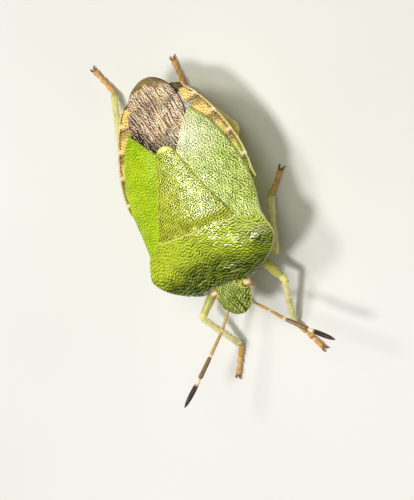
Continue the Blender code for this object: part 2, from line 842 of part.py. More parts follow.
def centre_on_footprint(bug):
    """Hang every part and cutter on an empty that centres the bug over the origin."""
    bpy.context.view_layer.update()
    graph = bpy.context.evaluated_depsgraph_get()
    corners = []
    for item in bug.objects:
        corners += [Vector(corner) for corner in item.evaluated_get(graph).bound_box]
    middle_x = (min(corner.x for corner in corners) + max(corner.x for corner in corners)) / 2
    middle_y = (min(corner.y for corner in corners) + max(corner.y for corner in corners)) / 2
    stand = bpy.data.objects.new("bug_centre", None)
    bpy.context.scene.collection.objects.link(stand)
    for item in list(bpy.data.objects):
        if item is not stand:
            item.parent = stand
    stand.location = (-middle_x, -middle_y, 0)
    bpy.context.view_layer.update()


def main():
    clear_scene()
    bug = new_collection("shield_bug")
    cutters = new_collection("cutters")
    make_pronotum(bug)
    make_scutellum(bug)
    make_membrane(bug)
    make_thorax(bug)
    make_abdomen(bug)
    make_head(bug, cutters)
    limb("beak", BEAK_ROUTE, BEAK_GIRTH, "leg_green", bug)
    for side in ("left", "right"):
        make_forewing(side, bug)
        ball("eye_" + side, mirrored(EYE_PLACE, side), EYE_RADII, "eye_brown", bug)
        make_feeler(side, bug)
    floor = make_floor_cutter(cutters)
    for name, points in LEGS.items():
        make_leg(name, points, floor, bug)
    centre_on_footprint(bug)


main()
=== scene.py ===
# %% [markdown]
# # A green shield bug, life size, in Blender
# The real insect is 12.7 mm long. Its back is a set of hard plates, covered all over with
# a maze of tiny pits and ridges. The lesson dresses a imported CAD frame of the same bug:
# every piece is modelled in the frame's own place, with the fine relief the solids lack.
# All shapes are arrays of points worked out with numpy, because the ridges lie only a
# seventh of a millimetre apart and there are thousands of them.

import math

import bpy
import numpy as np
from mathutils import Matrix, Vector

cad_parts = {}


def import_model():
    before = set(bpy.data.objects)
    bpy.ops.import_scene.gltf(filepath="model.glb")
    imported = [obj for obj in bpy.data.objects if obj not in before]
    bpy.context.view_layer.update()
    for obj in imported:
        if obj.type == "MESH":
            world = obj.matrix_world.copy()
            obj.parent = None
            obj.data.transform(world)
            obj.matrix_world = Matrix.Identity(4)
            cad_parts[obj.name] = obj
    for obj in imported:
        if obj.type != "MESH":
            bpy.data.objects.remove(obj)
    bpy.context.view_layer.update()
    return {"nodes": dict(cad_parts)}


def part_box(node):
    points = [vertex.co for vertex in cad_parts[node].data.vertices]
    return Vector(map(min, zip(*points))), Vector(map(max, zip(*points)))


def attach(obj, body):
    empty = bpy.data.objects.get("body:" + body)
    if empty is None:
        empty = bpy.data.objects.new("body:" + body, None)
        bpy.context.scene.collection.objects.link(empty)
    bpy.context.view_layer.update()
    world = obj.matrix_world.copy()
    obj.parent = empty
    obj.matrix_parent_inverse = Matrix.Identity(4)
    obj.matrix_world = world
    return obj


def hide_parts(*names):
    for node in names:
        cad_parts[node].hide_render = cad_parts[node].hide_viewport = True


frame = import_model()
print("solids in the frame:", len(frame["nodes"]))

# %% [markdown]
# ## Where the bug stands
# Lengths below are in millimetres in the bug's own frame: X towards its left side, Y
# towards its tail, Z up from the floor, and zero under the middle of the scutellum's
# base. The trunk's solid is symmetric and ends at a known place along Y, so its box
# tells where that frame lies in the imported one.

# %% The bug's own frame
MM = 0.001
THORAX_END = 1.62
thorax_low, thorax_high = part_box("thorax")
HOME = np.array([(thorax_low.x + thorax_high.x) / 2, thorax_high.y - THORAX_END * MM, 0])


def to_world(points):
    """Points in millimetres in the bug's frame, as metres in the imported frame."""
    return np.asarray(points, float) * MM + HOME


print("the bug's frame starts at", HOME.round(5))

# %% [markdown]
# ## The camera
# The photograph looks down on the back from the bug's left, nearly from above. The three
# directions below are that view's own axes in the bug's frame. A long lens, far away,
# keeps the perspective as flat as in a close-up picture.

# %% Camera at the photograph's angle
VIEW_AXES = {
    "right": (0.83938, -0.36612, -0.40174),
    "up": (0.30881, 0.92946, -0.20184),
    "back": (0.44730, 0.04540, 0.89320),
}
BACK_TOP = 4.65
CAMERA_AWAY = 120.0
FRAME_LONG_SIDE = 24.79
FRAME_MIDDLE = (0.565, -0.763)
SENSOR = 36.0
NEAREST_SEEN = 0.002


def make_camera():
    """The one camera, placed so that no lens shift is needed."""
    axes = {key: Vector(value).normalized() for key, value in VIEW_AXES.items()}
    place = Vector((0, 0, BACK_TOP)) + axes["back"] * CAMERA_AWAY
    place += axes["right"] * FRAME_MIDDLE[0] + axes["up"] * FRAME_MIDDLE[1]
    lens = bpy.data.cameras.new("camera")
    lens.sensor_width = SENSOR
    lens.lens = SENSOR * CAMERA_AWAY / FRAME_LONG_SIDE
    lens.clip_start = NEAREST_SEEN
    camera = bpy.data.objects.new("camera", lens)
    bpy.context.scene.collection.objects.link(camera)
    turn = Matrix((axes["right"], axes["up"], axes["back"])).transposed().to_4x4()
    camera.matrix_world = Matrix.Translation(Vector(to_world(place))) @ turn
    bpy.context.scene.camera = camera
    return camera


camera = make_camera()
print("lens of", round(camera.data.lens, 1), "mm")

# %% [markdown]
# ## Numbers along the body
# The shape of the back is given at a few stations from head to tail. Between them the
# values follow a smooth curve through every station, as a draughtsman's spline would.
# Working on whole arrays at once keeps thousands of points quick.

# %% Smooth values between stations


def along(stations, place):
    """Values at places between stations, each as an array."""
    table = np.array(stations, float)
    where, values = table[:, 0], table[:, 1:]
    place = np.asarray(place, float)
    last = len(where) - 1
    step = np.clip(np.searchsorted(where, place) - 1, 0, last - 1)
    before, after = np.maximum(step - 1, 0), np.minimum(step + 2, last)
    width = where[step + 1] - where[step]
    t = np.clip((place - where[step]) / width, 0, 1)
    found = []
    for column in values.T:
        start, end = column[step], column[step + 1]
        slope_in = (end - column[before]) / (where[step + 1] - where[before]) * width
        slope_out = (column[after] - start) / (where[after] - where[step]) * width
        found.append(
            start * (1 + 2 * t) * (1 - t) ** 2
            + slope_in * t * (1 - t) ** 2
            + end * t**2 * (3 - 2 * t)
            + slope_out * t**2 * (t - 1)
        )
    return found


def ease(share):
    """0 to 1 with a soft start and end."""
    share = np.clip(share, 0, 1)
    return share * share * (3 - 2 * share)


def blend(low, high, share):
    """A value between two others."""
    return low + (high - low) * share


def near(value, middle, width):
    """1 at the middle, fading to 0 over the width on both sides."""
    return ease(1 - np.abs(value - middle) / width)


def after(value, start, width):
    """0 up to the start, rising to 1 over the width beyond it."""
    return ease((value - start) / width)


def before(value, end, width):
    """0 from the end on, rising to 1 over the width ahead of it."""
    return ease((end - value) / width)


def within(distance, width):
    """1 at distance 0, fading to 0 at the width."""
    return ease(1 - distance / width)


print("a quarter of the way, eased:", ease(0.25))

# %% The back's form
# Along the body: half width, then the height of the midline and of the side edge
BACK = [
    (-3.00, 1.35, 3.66, 3.20),
    (-2.80, 1.80, 3.75, 3.35),
    (-2.50, 2.36, 3.90, 3.55),
    (-2.10, 2.98, 4.08, 3.74),
    (-1.70, 3.40, 4.24, 3.86),
    (-1.25, 3.65, 4.38, 3.93),
    (-0.85, 3.60, 4.48, 3.92),
    (-0.45, 3.44, 4.58, 3.84),
    (0.00, 3.38, 4.65, 3.73),
    (1.00, 3.52, 4.66, 3.56),
    (2.00, 3.68, 4.62, 3.46),
    (2.80, 3.70, 4.56, 3.41),
    (3.60, 3.60, 4.48, 3.38),
    (4.40, 3.38, 4.36, 3.36),
    (5.40, 3.00, 4.12, 3.36),
    (6.10, 2.64, 3.88, 3.37),
    (6.80, 2.20, 3.67, 3.43),
    (7.40, 1.55, 3.50, 3.40),
    (8.30, 0.60, 3.24, 3.18),
]
BACK_CROWN = 2.3


def back_height(x, y):
    """Height of the back above the floor."""
    half, crest, edge = along(BACK, y)
    return crest - (crest - edge) * np.minimum(np.abs(x) / half, 1) ** BACK_CROWN


print("back height over the scutellum:", float(back_height(0.0, 1.0)))

# %% [markdown]
# ## Chance that repeats
# Real cuticle is never even. drift() is a slow, cloudy variation. furrows() is the maze
# of ridges and pits that covers a shield bug: it adds up waves of nearly one length that
# run in many directions, and where they cancel or meet, a worm-eaten relief is left.
# With the directions kept close together the ridges run one way, as on the pronotum.
# The random numbers are seeded, so the bug comes out the same every time.

# %% Drift
TABLE = 257


def drift(x, y, size, seed):
    """Slow variation from -1 to 1, with lumps of about the given size."""
    dice = np.random.default_rng(seed).uniform(-1, 1, (TABLE, TABLE))
    u, v = np.asarray(x) / size, np.asarray(y) / size
    iu, iv = np.floor(u).astype(int), np.floor(v).astype(int)
    su, sv = ease(u - iu), ease(v - iv)

    def corner(du, dv):
        """The random value at one corner of each point's square in the table."""
        return dice[(iu + du) % TABLE, (iv + dv) % TABLE]

    front = blend(corner(0, 0), corner(1, 0), su)
    rear = blend(corner(0, 1), corner(1, 1), su)
    return blend(front, rear, sv)


print("drift at one place:", drift(0.3, 0.7, 0.5, 1).round(3))

# %% Furrows
WAVES = 26
SHORTEST_WAVE = 0.62
WAVE_RANGE = 2.3
WANDER = 0.5
UNEVEN = 0.35
LUMPS = 0.5
BEND_ROUNDING = 0.09


def furrows(x, y, apart, seed, lean=0, spread=180, bend=0.0):
    """A maze of ridges (above 0) and pits (below 0), mostly from -2 to 2.

    lean is the direction across the ridges in degrees from X, spread the angle they stray
    over, and bend slants them towards the head at the body's sides.
    """
    dice = np.random.default_rng(seed)
    y = y + bend * np.sqrt(x * x + BEND_ROUNDING)
    x = x + WANDER * apart * drift(x, y, 4 * apart, seed + 1)
    y = y + WANDER * apart * drift(x, y, 4 * apart, seed + 2)
    total = np.zeros(np.broadcast(x, y).shape)
    for _ in range(WAVES):
        turn = math.radians(lean + spread * (dice.random() - 0.5))
        pace = 2 * math.pi / (apart * SHORTEST_WAVE * WAVE_RANGE ** dice.random())
        phase = dice.uniform(0, 2 * math.pi)
        total += np.cos(pace * (x * math.cos(turn) + y * math.sin(turn)) + phase)
    total *= (1 + UNEVEN * drift(x, y, 2.5 * apart, seed + 3)) / math.sqrt(WAVES / 2)
    return total + LUMPS * drift(x, y, 1.5 * apart, seed + 4)


sample = furrows(*np.meshgrid(np.linspace(0, 1, 50), np.linspace(0, 1, 50)), 0.14, 1)
print("a sample of furrows runs from", sample.min().round(2), "to", sample.max().round(2))

# %% [markdown]
# ## From arrays to meshes
# A patch is a sheet of points in rows and columns, perhaps closed into a tube. A piece
# joins one or more patches in one mesh. Each patch also carries its masks, such as how
# deep in a pit a point lies, as vertex attributes that the materials read, and its own
# strip of a UV map, so that the colours can be baked without overlaps.

# %% Patches


def patch(points, masks=None, tube=False):
    """A sheet of points (rows, columns, 3) in millimetres, with masks of the same shape."""
    return {"points": points, "masks": masks or {}, "tube": tube}


def patch_faces(rows, columns, tube, first):
    """Corner indices of a patch's squares, and the place in the sheet of each corner."""
    across = columns if tube else columns - 1
    i, j = np.meshgrid(np.arange(rows - 1), np.arange(across), indexing="ij")
    i, j = i.ravel(), j.ravel()
    grid = [(i, j), (i, j + 1), (i + 1, j + 1), (i + 1, j)]
    corners = np.stack([first + a * columns + b % columns for a, b in grid], 1)
    places = np.stack([np.stack([b / across, a / (rows - 1)], 1) for a, b in grid], 1)
    return corners, places


def end_caps(rows, columns, first, low, high):
    """The two faces that close a tube, each with its spot in the bake map."""
    start = list(range(first, first + columns))
    end = list(range(first + (rows - 1) * columns, first + rows * columns))
    return [(start, low), (end[::-1], high)]


print("squares in a sheet of 3 by 4 points:", len(patch_faces(3, 4, False, 0)[0]))

# %% Patches joined
STRIP_USED = 0.94
MAP_USED = 0.98
MAP_MARGIN = 0.01
CAP_SPOT = 0.0005


def joined(patches):
    """Points, squares, their places in the bake map, end caps and masks of all patches."""
    points, squares, maps, caps, masks = [], [], [], [], {}
    names = sorted({key for each in patches for key in each["masks"]})
    first = 0
    for index, each in enumerate(patches):
        rows, columns = each["points"].shape[:2]
        corners, places = patch_faces(rows, columns, each["tube"], first)
        low, high = index / len(patches), (index + STRIP_USED) / len(patches)
        over = places[..., 0] * MAP_USED + MAP_MARGIN
        points.append(each["points"].reshape(-1, 3))
        squares.append(corners)
        maps.append(np.stack([over, blend(low, high, places[..., 1])], -1))
        if each["tube"]:
            caps += end_caps(rows, columns, first, low, high)
        for key in names:
            value = np.broadcast_to(each["masks"].get(key, 0.0), (rows, columns))
            masks.setdefault(key, []).append(value.ravel())
        first += rows * columns
    masks = {key: np.concatenate(parts) for key, parts in masks.items()}
    return np.concatenate(points), np.concatenate(squares), np.concatenate(maps), caps, masks


def cap_map(loop, level):
    """A tiny ring in the bake map for an end cap."""
    corners = range(len(loop))
    return [(MAP_MARGIN + CAP_SPOT * math.cos(k), level + CAP_SPOT * math.sin(k)) for k in corners]


# %% Pieces


def register(made, replaces):
    """Put a finished piece in the scene under the body's root, and hide the solids it replaces."""
    bpy.context.scene.collection.objects.link(made)
    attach(made, "root")
    if replaces:
        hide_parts(*replaces)
    print(made.name, len(made.data.polygons), "faces")


def piece(name, patches, finish, replaces=()):
    """One mesh object from patches, smooth, with masks and a bake map."""
    points, squares, maps, caps, masks = joined(patches)
    mesh = bpy.data.meshes.new(name)
    mesh.from_pydata(to_world(points).tolist(), [], squares.tolist() + [loop for loop, _ in caps])
    spots = maps.reshape(-1, 2).tolist()
    for loop, level in caps:
        spots += cap_map(loop, level)
    mesh.uv_layers.new(name="OFBake").data.foreach_set("uv", np.array(spots, np.float32).ravel())
    for key, values in masks.items():
        store = mesh.attributes.new(key, "FLOAT", "POINT")
        store.data.foreach_set("value", values.astype(np.float32))
    mesh.shade_smooth()
    mesh.update()
    mesh.materials.append(finish)
    made = bpy.data.objects.new(name, mesh)
    register(made, replaces)
    return made


# %% [markdown]
# ## Finishes
# Two node groups do what most finishes share. "Shell pigment" lays the dark of the pits
# and the pale of the ridges over a cloudy ground, darkens it with painted shade and with
# dark marks of the cuticle's own, and adds a pale margin. The pale of the ridges is in part
# a painted highlight and the dark of the pits in part painted shade. "Skin grain" turns
# fine noise into a bump, for relief smaller than the mesh holds. Each material then keeps
# its own shader and values.

# %% A helper for node trees


class Tree:
    """Adds nodes to a node tree and links them."""

    def __init__(self, tree):
        """Keep the tree that the nodes go in."""
        self.tree = tree

    def put(self, socket, value):
        """Link a socket to a value that is itself a socket, or set the value on it."""
        if isinstance(value, bpy.types.NodeSocket):
            self.tree.links.new(value, socket)
        elif socket.type == "RGBA":
            socket.default_value = (*value[:3], 1)
        else:
            socket.default_value = value

    def add(self, kind, inputs=None, **settings):
        """A new node with its settings made and its inputs put."""
        node = self.tree.nodes.new(kind)
        for key, value in settings.items():
            setattr(node, key, value)
        for key, value in (inputs or {}).items():
            self.put(node.inputs[key], value)
        return node

    def times(self, first, second):
        """Two values multiplied."""
        return self.add("ShaderNodeMath", {0: first, 1: second}, operation="MULTIPLY").outputs[0]

    def mask(self, name):
        """A mask that the piece's points carry."""
        return self.add("ShaderNodeAttribute", attribute_name=name).outputs["Fac"]

    def mix(self, share, first, second, way="MIX"):
        """The first colour at share 0, the second at 1."""
        node = self.add("ShaderNodeMix", {0: share}, data_type="RGBA", clamp_factor=True, blend_type=way)
        self.put(node.inputs[6], first)
        self.put(node.inputs[7], second)
        return node.outputs[2]

    def span(self, value, low, high, out_low=0.0, out_high=1.0):
        """The value's way from low to high, smoothed, as out_low to out_high."""
        inputs = {0: value, 1: low, 2: high, 3: out_low, 4: out_high}
        return self.add("ShaderNodeMapRange", inputs, interpolation_type="SMOOTHSTEP").outputs[0]

    def noise(self, scale, detail=2.0):
        """Noise in the piece's own place, with scale in lumps a metre."""
        where = self.add("ShaderNodeNewGeometry").outputs["Position"]
        inputs = {"Vector": where, "Scale": scale, "Detail": detail}
        return self.add("ShaderNodeTexNoise", inputs).outputs["Fac"]


# %% Colours and groups


def srgb(red, green, blue):
    """A colour as seen on a screen, 0 to 255, as the shader's linear values."""
    values = [channel / 255 for channel in (red, green, blue)]
    return tuple(v / 12.92 if v <= 0.04045 else ((v + 0.055) / 1.055) ** 2.4 for v in values)


def new_group(name, inputs, outputs):
    """An empty shader node group with named sockets."""
    kinds = {"colour": "NodeSocketColor", "value": "NodeSocketFloat", "normal": "NodeSocketVector"}
    group = bpy.data.node_groups.new(name, "ShaderNodeTree")
    for key, (kind, default) in inputs.items():
        socket = group.interface.new_socket(name=key, in_out="INPUT", socket_type=kinds[kind])
        socket.default_value = (*default, 1) if kind == "colour" else default
    for key, kind in outputs.items():
        group.interface.new_socket(name=key, in_out="OUTPUT", socket_type=kinds[kind])
    tree = Tree(group)
    return group, tree, tree.add("NodeGroupInput").outputs, tree.add("NodeGroupOutput").inputs


print("a middle grey as the shader sees it:", round(srgb(128, 128, 128)[0], 3))

# %% The group "Shell pigment"
SHELL_LAYERS = ("Ground", "Cloud", "Shade", "Ridge", "Pit", "Margin")
CLOUD_SCALE = 900
PATCH_SCALE = 1900
# How much of the ridges' pale, in part a painted highlight, shows without and under full painted shade
RIDGE_IN_SHADE = (0.85, 0.30)
MARGIN_IN_PIT = 0.25
GLOSS_IN_PIT = 0.15


def make_pigment_group():
    """Ground, clouds, painted shade and dark marks, ridges, pits and margin of a hard plate, mixed by
    masks.
    """
    inputs = {key: ("colour", srgb(170, 190, 40)) for key in SHELL_LAYERS}
    inputs["Pit strength"] = ("value", 0.9)
    outputs = {"Color": "colour", "Gloss": "value"}
    group, tree, given, out = new_group("Shell pigment", inputs, outputs)
    cloud = tree.span(tree.noise(CLOUD_SCALE, 3), 0.36, 0.64)
    colour = tree.mix(cloud, given["Ground"], given["Cloud"])
    patchy = tree.span(tree.noise(PATCH_SCALE, 2), 0.30, 0.62, 0.70, 1.0)
    pit = tree.times(tree.times(tree.mask("pit"), given["Pit strength"]), patchy)
    colour = tree.mix(pit, colour, given["Pit"])
    # Painted shade, and dark marks of their own, darken the colour by multiplying
    colour = tree.mix(tree.mask("shade"), colour, given["Shade"], "MULTIPLY")
    # Under painted shade less of the ridges' pale, in part a painted highlight, shows
    lit = tree.span(tree.mask("shade"), 0.0, 1.0, *RIDGE_IN_SHADE)
    colour = tree.mix(tree.times(tree.mask("ridge"), lit), colour, given["Ridge"])
    shallow = tree.span(tree.mask("pit"), 0.0, 1.0, 1.0, MARGIN_IN_PIT)
    colour = tree.mix(tree.times(tree.mask("margin"), shallow), colour, given["Margin"])
    tree.put(out["Color"], colour)
    tree.put(out["Gloss"], tree.span(tree.mask("pit"), 0.0, 1.0, 1.0, GLOSS_IN_PIT))
    return group


pigment_group = make_pigment_group()
print("group:", pigment_group.name, "with", len(pigment_group.nodes), "nodes")

# %% The group "Skin grain"


def make_grain_group():
    """A normal roughened by fine noise."""
    inputs = {"Scale": ("value", 12000.0), "Strength": ("value", 0.15), "Depth": ("value", 0.00001)}
    group, tree, given, out = new_group("Skin grain", inputs, {"Normal": "normal"})
    fine = tree.noise(given["Scale"])
    inputs = {"Height": fine, "Strength": given["Strength"], "Distance": given["Depth"]}
    tree.put(out["Normal"], tree.add("ShaderNodeBump", inputs).outputs[0])
    return group


grain_group = make_grain_group()
print("group:", grain_group.name, "with", len(grain_group.nodes), "nodes")

# %% Starting a finish
COAT_ROUGHNESS = 0.15
CUTICLE_IOR = 1.6
BASE_GLOSS = 0.15


def start_material(name, roughness, coat=0.0):
    """A new material: its tree helper and its Principled shader."""
    material = bpy.data.materials.new(name)
    material.use_nodes = True
    shader = material.node_tree.nodes["Principled BSDF"]
    shader.inputs["Roughness"].default_value = roughness
    shader.inputs["Coat Weight"].default_value = coat
    shader.inputs["Coat Roughness"].default_value = COAT_ROUGHNESS
    shader.inputs["Coat IOR"].default_value = CUTICLE_IOR
    shader.inputs["Specular IOR Level"].default_value = BASE_GLOSS
    return material, Tree(material.node_tree), shader


def add_grain(tree, shader, scale, strength):
    """Give the shader the fine bump of the grain group."""
    grain = tree.add("ShaderNodeGroup", node_tree=grain_group)
    grain.inputs["Scale"].default_value = scale
    grain.inputs["Strength"].default_value = strength
    tree.put(shader.inputs["Normal"], grain.outputs["Normal"])


def pigment(tree, colours, strength):
    """The pigment group with its colours set, as its outputs."""
    paint = tree.add("ShaderNodeGroup", node_tree=pigment_group)
    for key, value in zip(SHELL_LAYERS, colours):
        paint.inputs[key].default_value = (*srgb(*value), 1)
    paint.inputs["Pit strength"].default_value = strength
    return paint.outputs


# %% [markdown]
# ## Greens of the shell
# Each plate has its own green, and the head is darker. The two wings differ in tone as
# painted light: the left one is paler, with a painted sheen on its ridges, and the right
# one is painted as lit, with lighter pits. The light falls on wet-looking cuticle, so a thin
# clear coat lies over a duller base. The coat fades inside the pits, so they stay dark
# where the ridges beside them gleam.

# %% Shell finishes
# Colours in the order of SHELL_LAYERS, as seen on a screen
SHELL_COLOURS = {
    # The third colour in each row darkens by multiplying, for painted shade and for dark marks
    "pronotum": [
        (164, 184, 30), (184, 196, 40), (58, 82, 50),
        (208, 220, 62), (50, 66, 2), (244, 228, 134),
    ],
    "scutellum": [
        (158, 176, 8), (178, 188, 16), (124, 104, 60),
        (222, 224, 88), (36, 42, 0), (240, 236, 112),
    ],
    # The left wing's paler ground and whitish ridges are in part a painted sheen; its margin colour also
    # paints the sheen on its rear
    "left_wing": [
        (166, 194, 42), (186, 208, 58), (124, 124, 80),
        (238, 242, 158), (46, 64, 12), (244, 236, 206),
    ],
    # The right wing's lighter pits are painted light: its cuticle is shown as lit
    "right_wing": [
        (142, 176, 0), (172, 192, 8), (124, 128, 80),
        (204, 226, 40), (112, 142, 0), (240, 226, 120),
    ],
    "head": [
        (104, 124, 14), (128, 144, 24), (92, 104, 84),
        (216, 226, 122), (34, 50, 6), (236, 218, 112),
    ],
    "belly": [
        (184, 198, 58), (204, 210, 82), (120, 104, 60),
        (206, 214, 116), (104, 124, 34), (240, 208, 166),
    ],
}


def shell_finish(part, strength, coat):
    """A finish of hard, pitted cuticle."""
    material, tree, shader = start_material(part + "_cuticle", 0.5)
    paint = pigment(tree, SHELL_COLOURS[part], strength)
    tree.put(shader.inputs["Base Color"], paint["Color"])
    tree.put(shader.inputs["Coat Weight"], tree.times(paint["Gloss"], coat))
    add_grain(tree, shader, 14000, 0.25)
    return material


# How strong the pits' colour and the clear coat are
PIT_AND_COAT = {
    "pronotum": (0.90, 0.85),
    "scutellum": (1.0, 1.0),
    "left_wing": (0.95, 0.72),
    # The right wing's weaker pits are painted light as well
    "right_wing": (0.8, 0.35),
    "head": (0.95, 0.5),
    "belly": (0.5, 0.5),
}
finishes = {part: shell_finish(part, *values) for part, values in PIT_AND_COAT.items()}
print("shell finishes:", sorted(finishes))

# %% [markdown]
# ## A hard plate
# Each plate of the back is a sheet over the back's form. Its rim rolls down, as a real
# plate's does, and a skirt closes it towards the body below. The furrows are pressed into
# the sheet itself, so that light catches their ridges. The distance of each point to the
# plate's edge is measured along the sheet, and serves the rim, the furrows and the margin.

# %% Measuring a sheet
RIGHT, LEFT, FRONT, REAR = range(4)


def edge_distances(points):
    """How far each point is, along the sheet, from its RIGHT, LEFT, FRONT and REAR edge."""
    across = np.linalg.norm(np.diff(points, axis=1), axis=2)
    down = np.linalg.norm(np.diff(points, axis=0), axis=2)
    right = np.pad(np.cumsum(across, 1), ((0, 0), (1, 0)))
    front = np.pad(np.cumsum(down, 0), ((1, 0), (0, 0)))
    return right, right[:, -1:] - right, front, front[-1:] - front


def sheet_normals(points):
    """Upward unit normals of a sheet of points."""
    normal = np.cross(np.gradient(points, axis=1), np.gradient(points, axis=0))
    normal /= np.maximum(np.linalg.norm(normal, axis=2, keepdims=True), 1e-9)
    return normal * np.where(normal[..., 2:3] < 0, -1, 1)


# %% The skirt
# How far each added row goes out, down and inward, in millimetres, and how pale it is
SKIRT_OUT = np.array([0.0, 0.012, 0.016, 0.0])
SKIRT_DOWN = np.array([0.0, 0.03, 0.12, 0.28])
SKIRT_INWARD = np.array([0.0, 0.0, 0.0, 0.26])
SKIRT_PALE = np.array([1.0, 1.0, 0.8, 0.0])
# Where the skirt starts to lean inward, as a share of the body's half width, and over
# how much more of it
BODY_SIDE = (0.82, 0.12)


def with_skirt(points, masks):
    """The sheet with rows and columns added that turn its edge down.

    At the body's sides the skirt leans inward too, as the underside of a thin margin.
    """
    middle = points.mean((0, 1))
    steps = len(SKIRT_OUT) - 1
    wide = np.pad(points, ((steps, steps), (steps, steps), (0, 0)), mode="edge")
    rows, columns = wide.shape[:2]
    i, j = np.meshgrid(np.arange(rows), np.arange(columns), indexing="ij")
    far_i, far_j = rows - 1 - steps, columns - 1 - steps
    beyond = np.maximum.reduce([steps - i, i - far_i, steps - j, j - far_j, 0 * i])
    out = wide[..., :2] - middle[:2]
    out /= np.maximum(np.linalg.norm(out, axis=2, keepdims=True), 1e-9)
    at_side = after(np.abs(wide[..., 0]) / along(BACK, wide[..., 1])[0], *BODY_SIDE)
    wide[..., :2] += out * SKIRT_OUT[beyond][..., None]
    wide[..., 0] -= np.sign(wide[..., 0]) * at_side * SKIRT_INWARD[beyond]
    wide[..., 2] -= SKIRT_DOWN[beyond]
    masks = {key: np.pad(value, steps, mode="edge") for key, value in masks.items()}
    masks["margin"] = masks["margin"] * SKIRT_PALE[beyond]
    return wide, masks


print("the skirt reaches down", SKIRT_DOWN[-1], "mm")

# %% Making a plate
CELL = 0.019
FURROW_FADE = 0.06
FURROW_SHARPNESS = 1.3
SWELL_HEIGHT = 0.014
SWELL_SIZE = 0.5
# Where the pit and ridge masks start in the furrows' value, and over how much they rise
PIT_SPAN = (0.12, 0.7)
RIDGE_SPAN = (0.10, 0.8)


def plate(name, place, size, finish, node, furrow, depth, rim, paint, relief, smooth, rolled):
    """A furrowed plate over place(across, back).

    size is its width and length, furrow says how the furrows lie and depth how deep they
    are, rim is its width and drop, paint gives masks, relief adds height, smooth tells
    where the furrows fade, and rolled names the edges that roll down.
    """
    across = np.linspace(-1, 1, int(size[0] / CELL))
    back = np.linspace(0, 1, int(size[1] / CELL))
    a, b = np.meshgrid(across, back)
    x, y, z = place(a, b)
    points = np.stack([x, y, z], -1)
    edges = edge_distances(points)
    edge = np.minimum.reduce(edges)
    rolled_edge = np.minimum.reduce([edges[index] for index in rolled])
    maze = furrows(x, y, **furrow) * ease(edge / FURROW_FADE)
    maze = maze * (1 - smooth(x, y, a, b))
    rise = depth * np.tanh(FURROW_SHARPNESS * maze) - rim[1] * (1 - ease(rolled_edge / rim[0])) ** 2
    rise += SWELL_HEIGHT * drift(x, y, SWELL_SIZE, furrow["seed"] + 5)
    rise = rise + relief(x, y, a, b)
    points = points + sheet_normals(points) * rise[..., None]
    masks = {"pit": after(-maze, *PIT_SPAN), "ridge": after(maze, *RIDGE_SPAN)}
    masks.update(paint(x, y, a, b, edges))
    piece(name, [patch(*with_skirt(points, masks))], finish, [node])


def nowhere(x, y, a, b):
    """For a plate with no relief of its own, or with furrows that fade nowhere."""
    return 0.0


# %% [markdown]
# ## Pronotum
# The pronotum is the broad shield behind the head. Its front edge is hollowed for the
# head, its shoulders are rounded, and behind the head lie two low bumps, the calli. Fine
# wavy wrinkles run across it. Painted shade darkens it towards the head, where its
# surface turns from the light, with some darker green of its own, and on its left
# shoulder. The bug turns its shoulders a little to its left, so the right shoulder lies
# further ahead.

# %% Outline of the pronotum
PRONOTUM_FRONT = -2.74
PRONOTUM_FRONT_HOLLOW = 0.20
PRONOTUM_SIDE = (-2.90, -0.42)
PRONOTUM_REAR = 0.14
SCUTELLUM_CORNER = 2.18
RIGHT_SHOULDER_AHEAD = 0.30


def pronotum_place(a, b):
    """The pronotum's sheet, from its front edge to the one over the scutellum."""
    side_y = blend(*PRONOTUM_SIDE, b)
    half = along(BACK, side_y)[0]
    x = a * half
    front = PRONOTUM_FRONT - PRONOTUM_FRONT_HOLLOW * a * a
    shoulder = (np.abs(x) - SCUTELLUM_CORNER) / np.maximum(half - SCUTELLUM_CORNER, 0.01)
    rear = blend(PRONOTUM_REAR, PRONOTUM_SIDE[1], ease(shoulder))
    y = blend(front, rear, b)
    turned = ease(-x / 2.4) * ease(-y / 1.2)
    return x, y - RIGHT_SHOULDER_AHEAD * turned, back_height(x, y)


print("the pronotum's left shoulder lies at", pronotum_place(np.array(1.0), np.array(0.665))[0].round(2))

# %% Bumps and wrinkles of the pronotum
CALLUS_ASIDE = 1.0
CALLUS_BACK = -2.22
CALLUS_SLANT = 0.12
CALLUS_HALF = (0.62, 0.22)
CALLUS_HEIGHT = 0.035
STREAK_BACK = -2.24
STREAK_SLANT = 0.16
STREAK_HALF = (0.5, 0.06)
STREAK_HEIGHT = 0.006
WRINKLE_APART = 0.42
WRINKLE_HEIGHT = 0.006
HOLLOW_DEPTH = 0.05


def callus(x, y):
    """1 on the two low bumps behind the head."""
    across = (np.abs(x) - CALLUS_ASIDE) / CALLUS_HALF[0]
    back = (y - CALLUS_BACK + CALLUS_SLANT * np.abs(x)) / CALLUS_HALF[1]
    return ease(1.3 * (1 - np.hypot(across, back)))


def callus_streak(x, y):
    """1 on the short pale streaks that lie across the bumps."""
    bent = y - STREAK_BACK + STREAK_SLANT * np.abs(x) + 0.05 * drift(x, y, 0.3, 37)
    across = np.abs(np.abs(x) - CALLUS_ASIDE) / STREAK_HALF[0]
    return near(bent, 0.0, STREAK_HALF[1]) * ease(1.4 * (1 - across))


def pronotum_relief(x, y, a, b):
    """Broad wrinkles, the bumps with their streaks, and the hollow behind them."""
    sway = y / WRINKLE_APART + 0.8 * drift(x, y, 0.9, 31) + 0.3 * drift(x, y, 0.3, 32)
    hollow = near(y, -1.72 - 0.10 * np.abs(x), 0.45) * before(np.abs(x), 2.4, 0.8)
    rise = WRINKLE_HEIGHT * np.sin(2 * math.pi * sway) + CALLUS_HEIGHT * callus(x, y)
    return rise - HOLLOW_DEPTH * hollow + STREAK_HEIGHT * callus_streak(x, y)


def pronotum_smooth(x, y, a, b):
    """Where the furrows fade: on the bumps and towards the right shoulder."""
    return 0.5 * callus(x, y) + 0.40 * after(-x, 0.4, 1.2) * after(y, -1.6, 0.8)


# %% The pronotum's plate


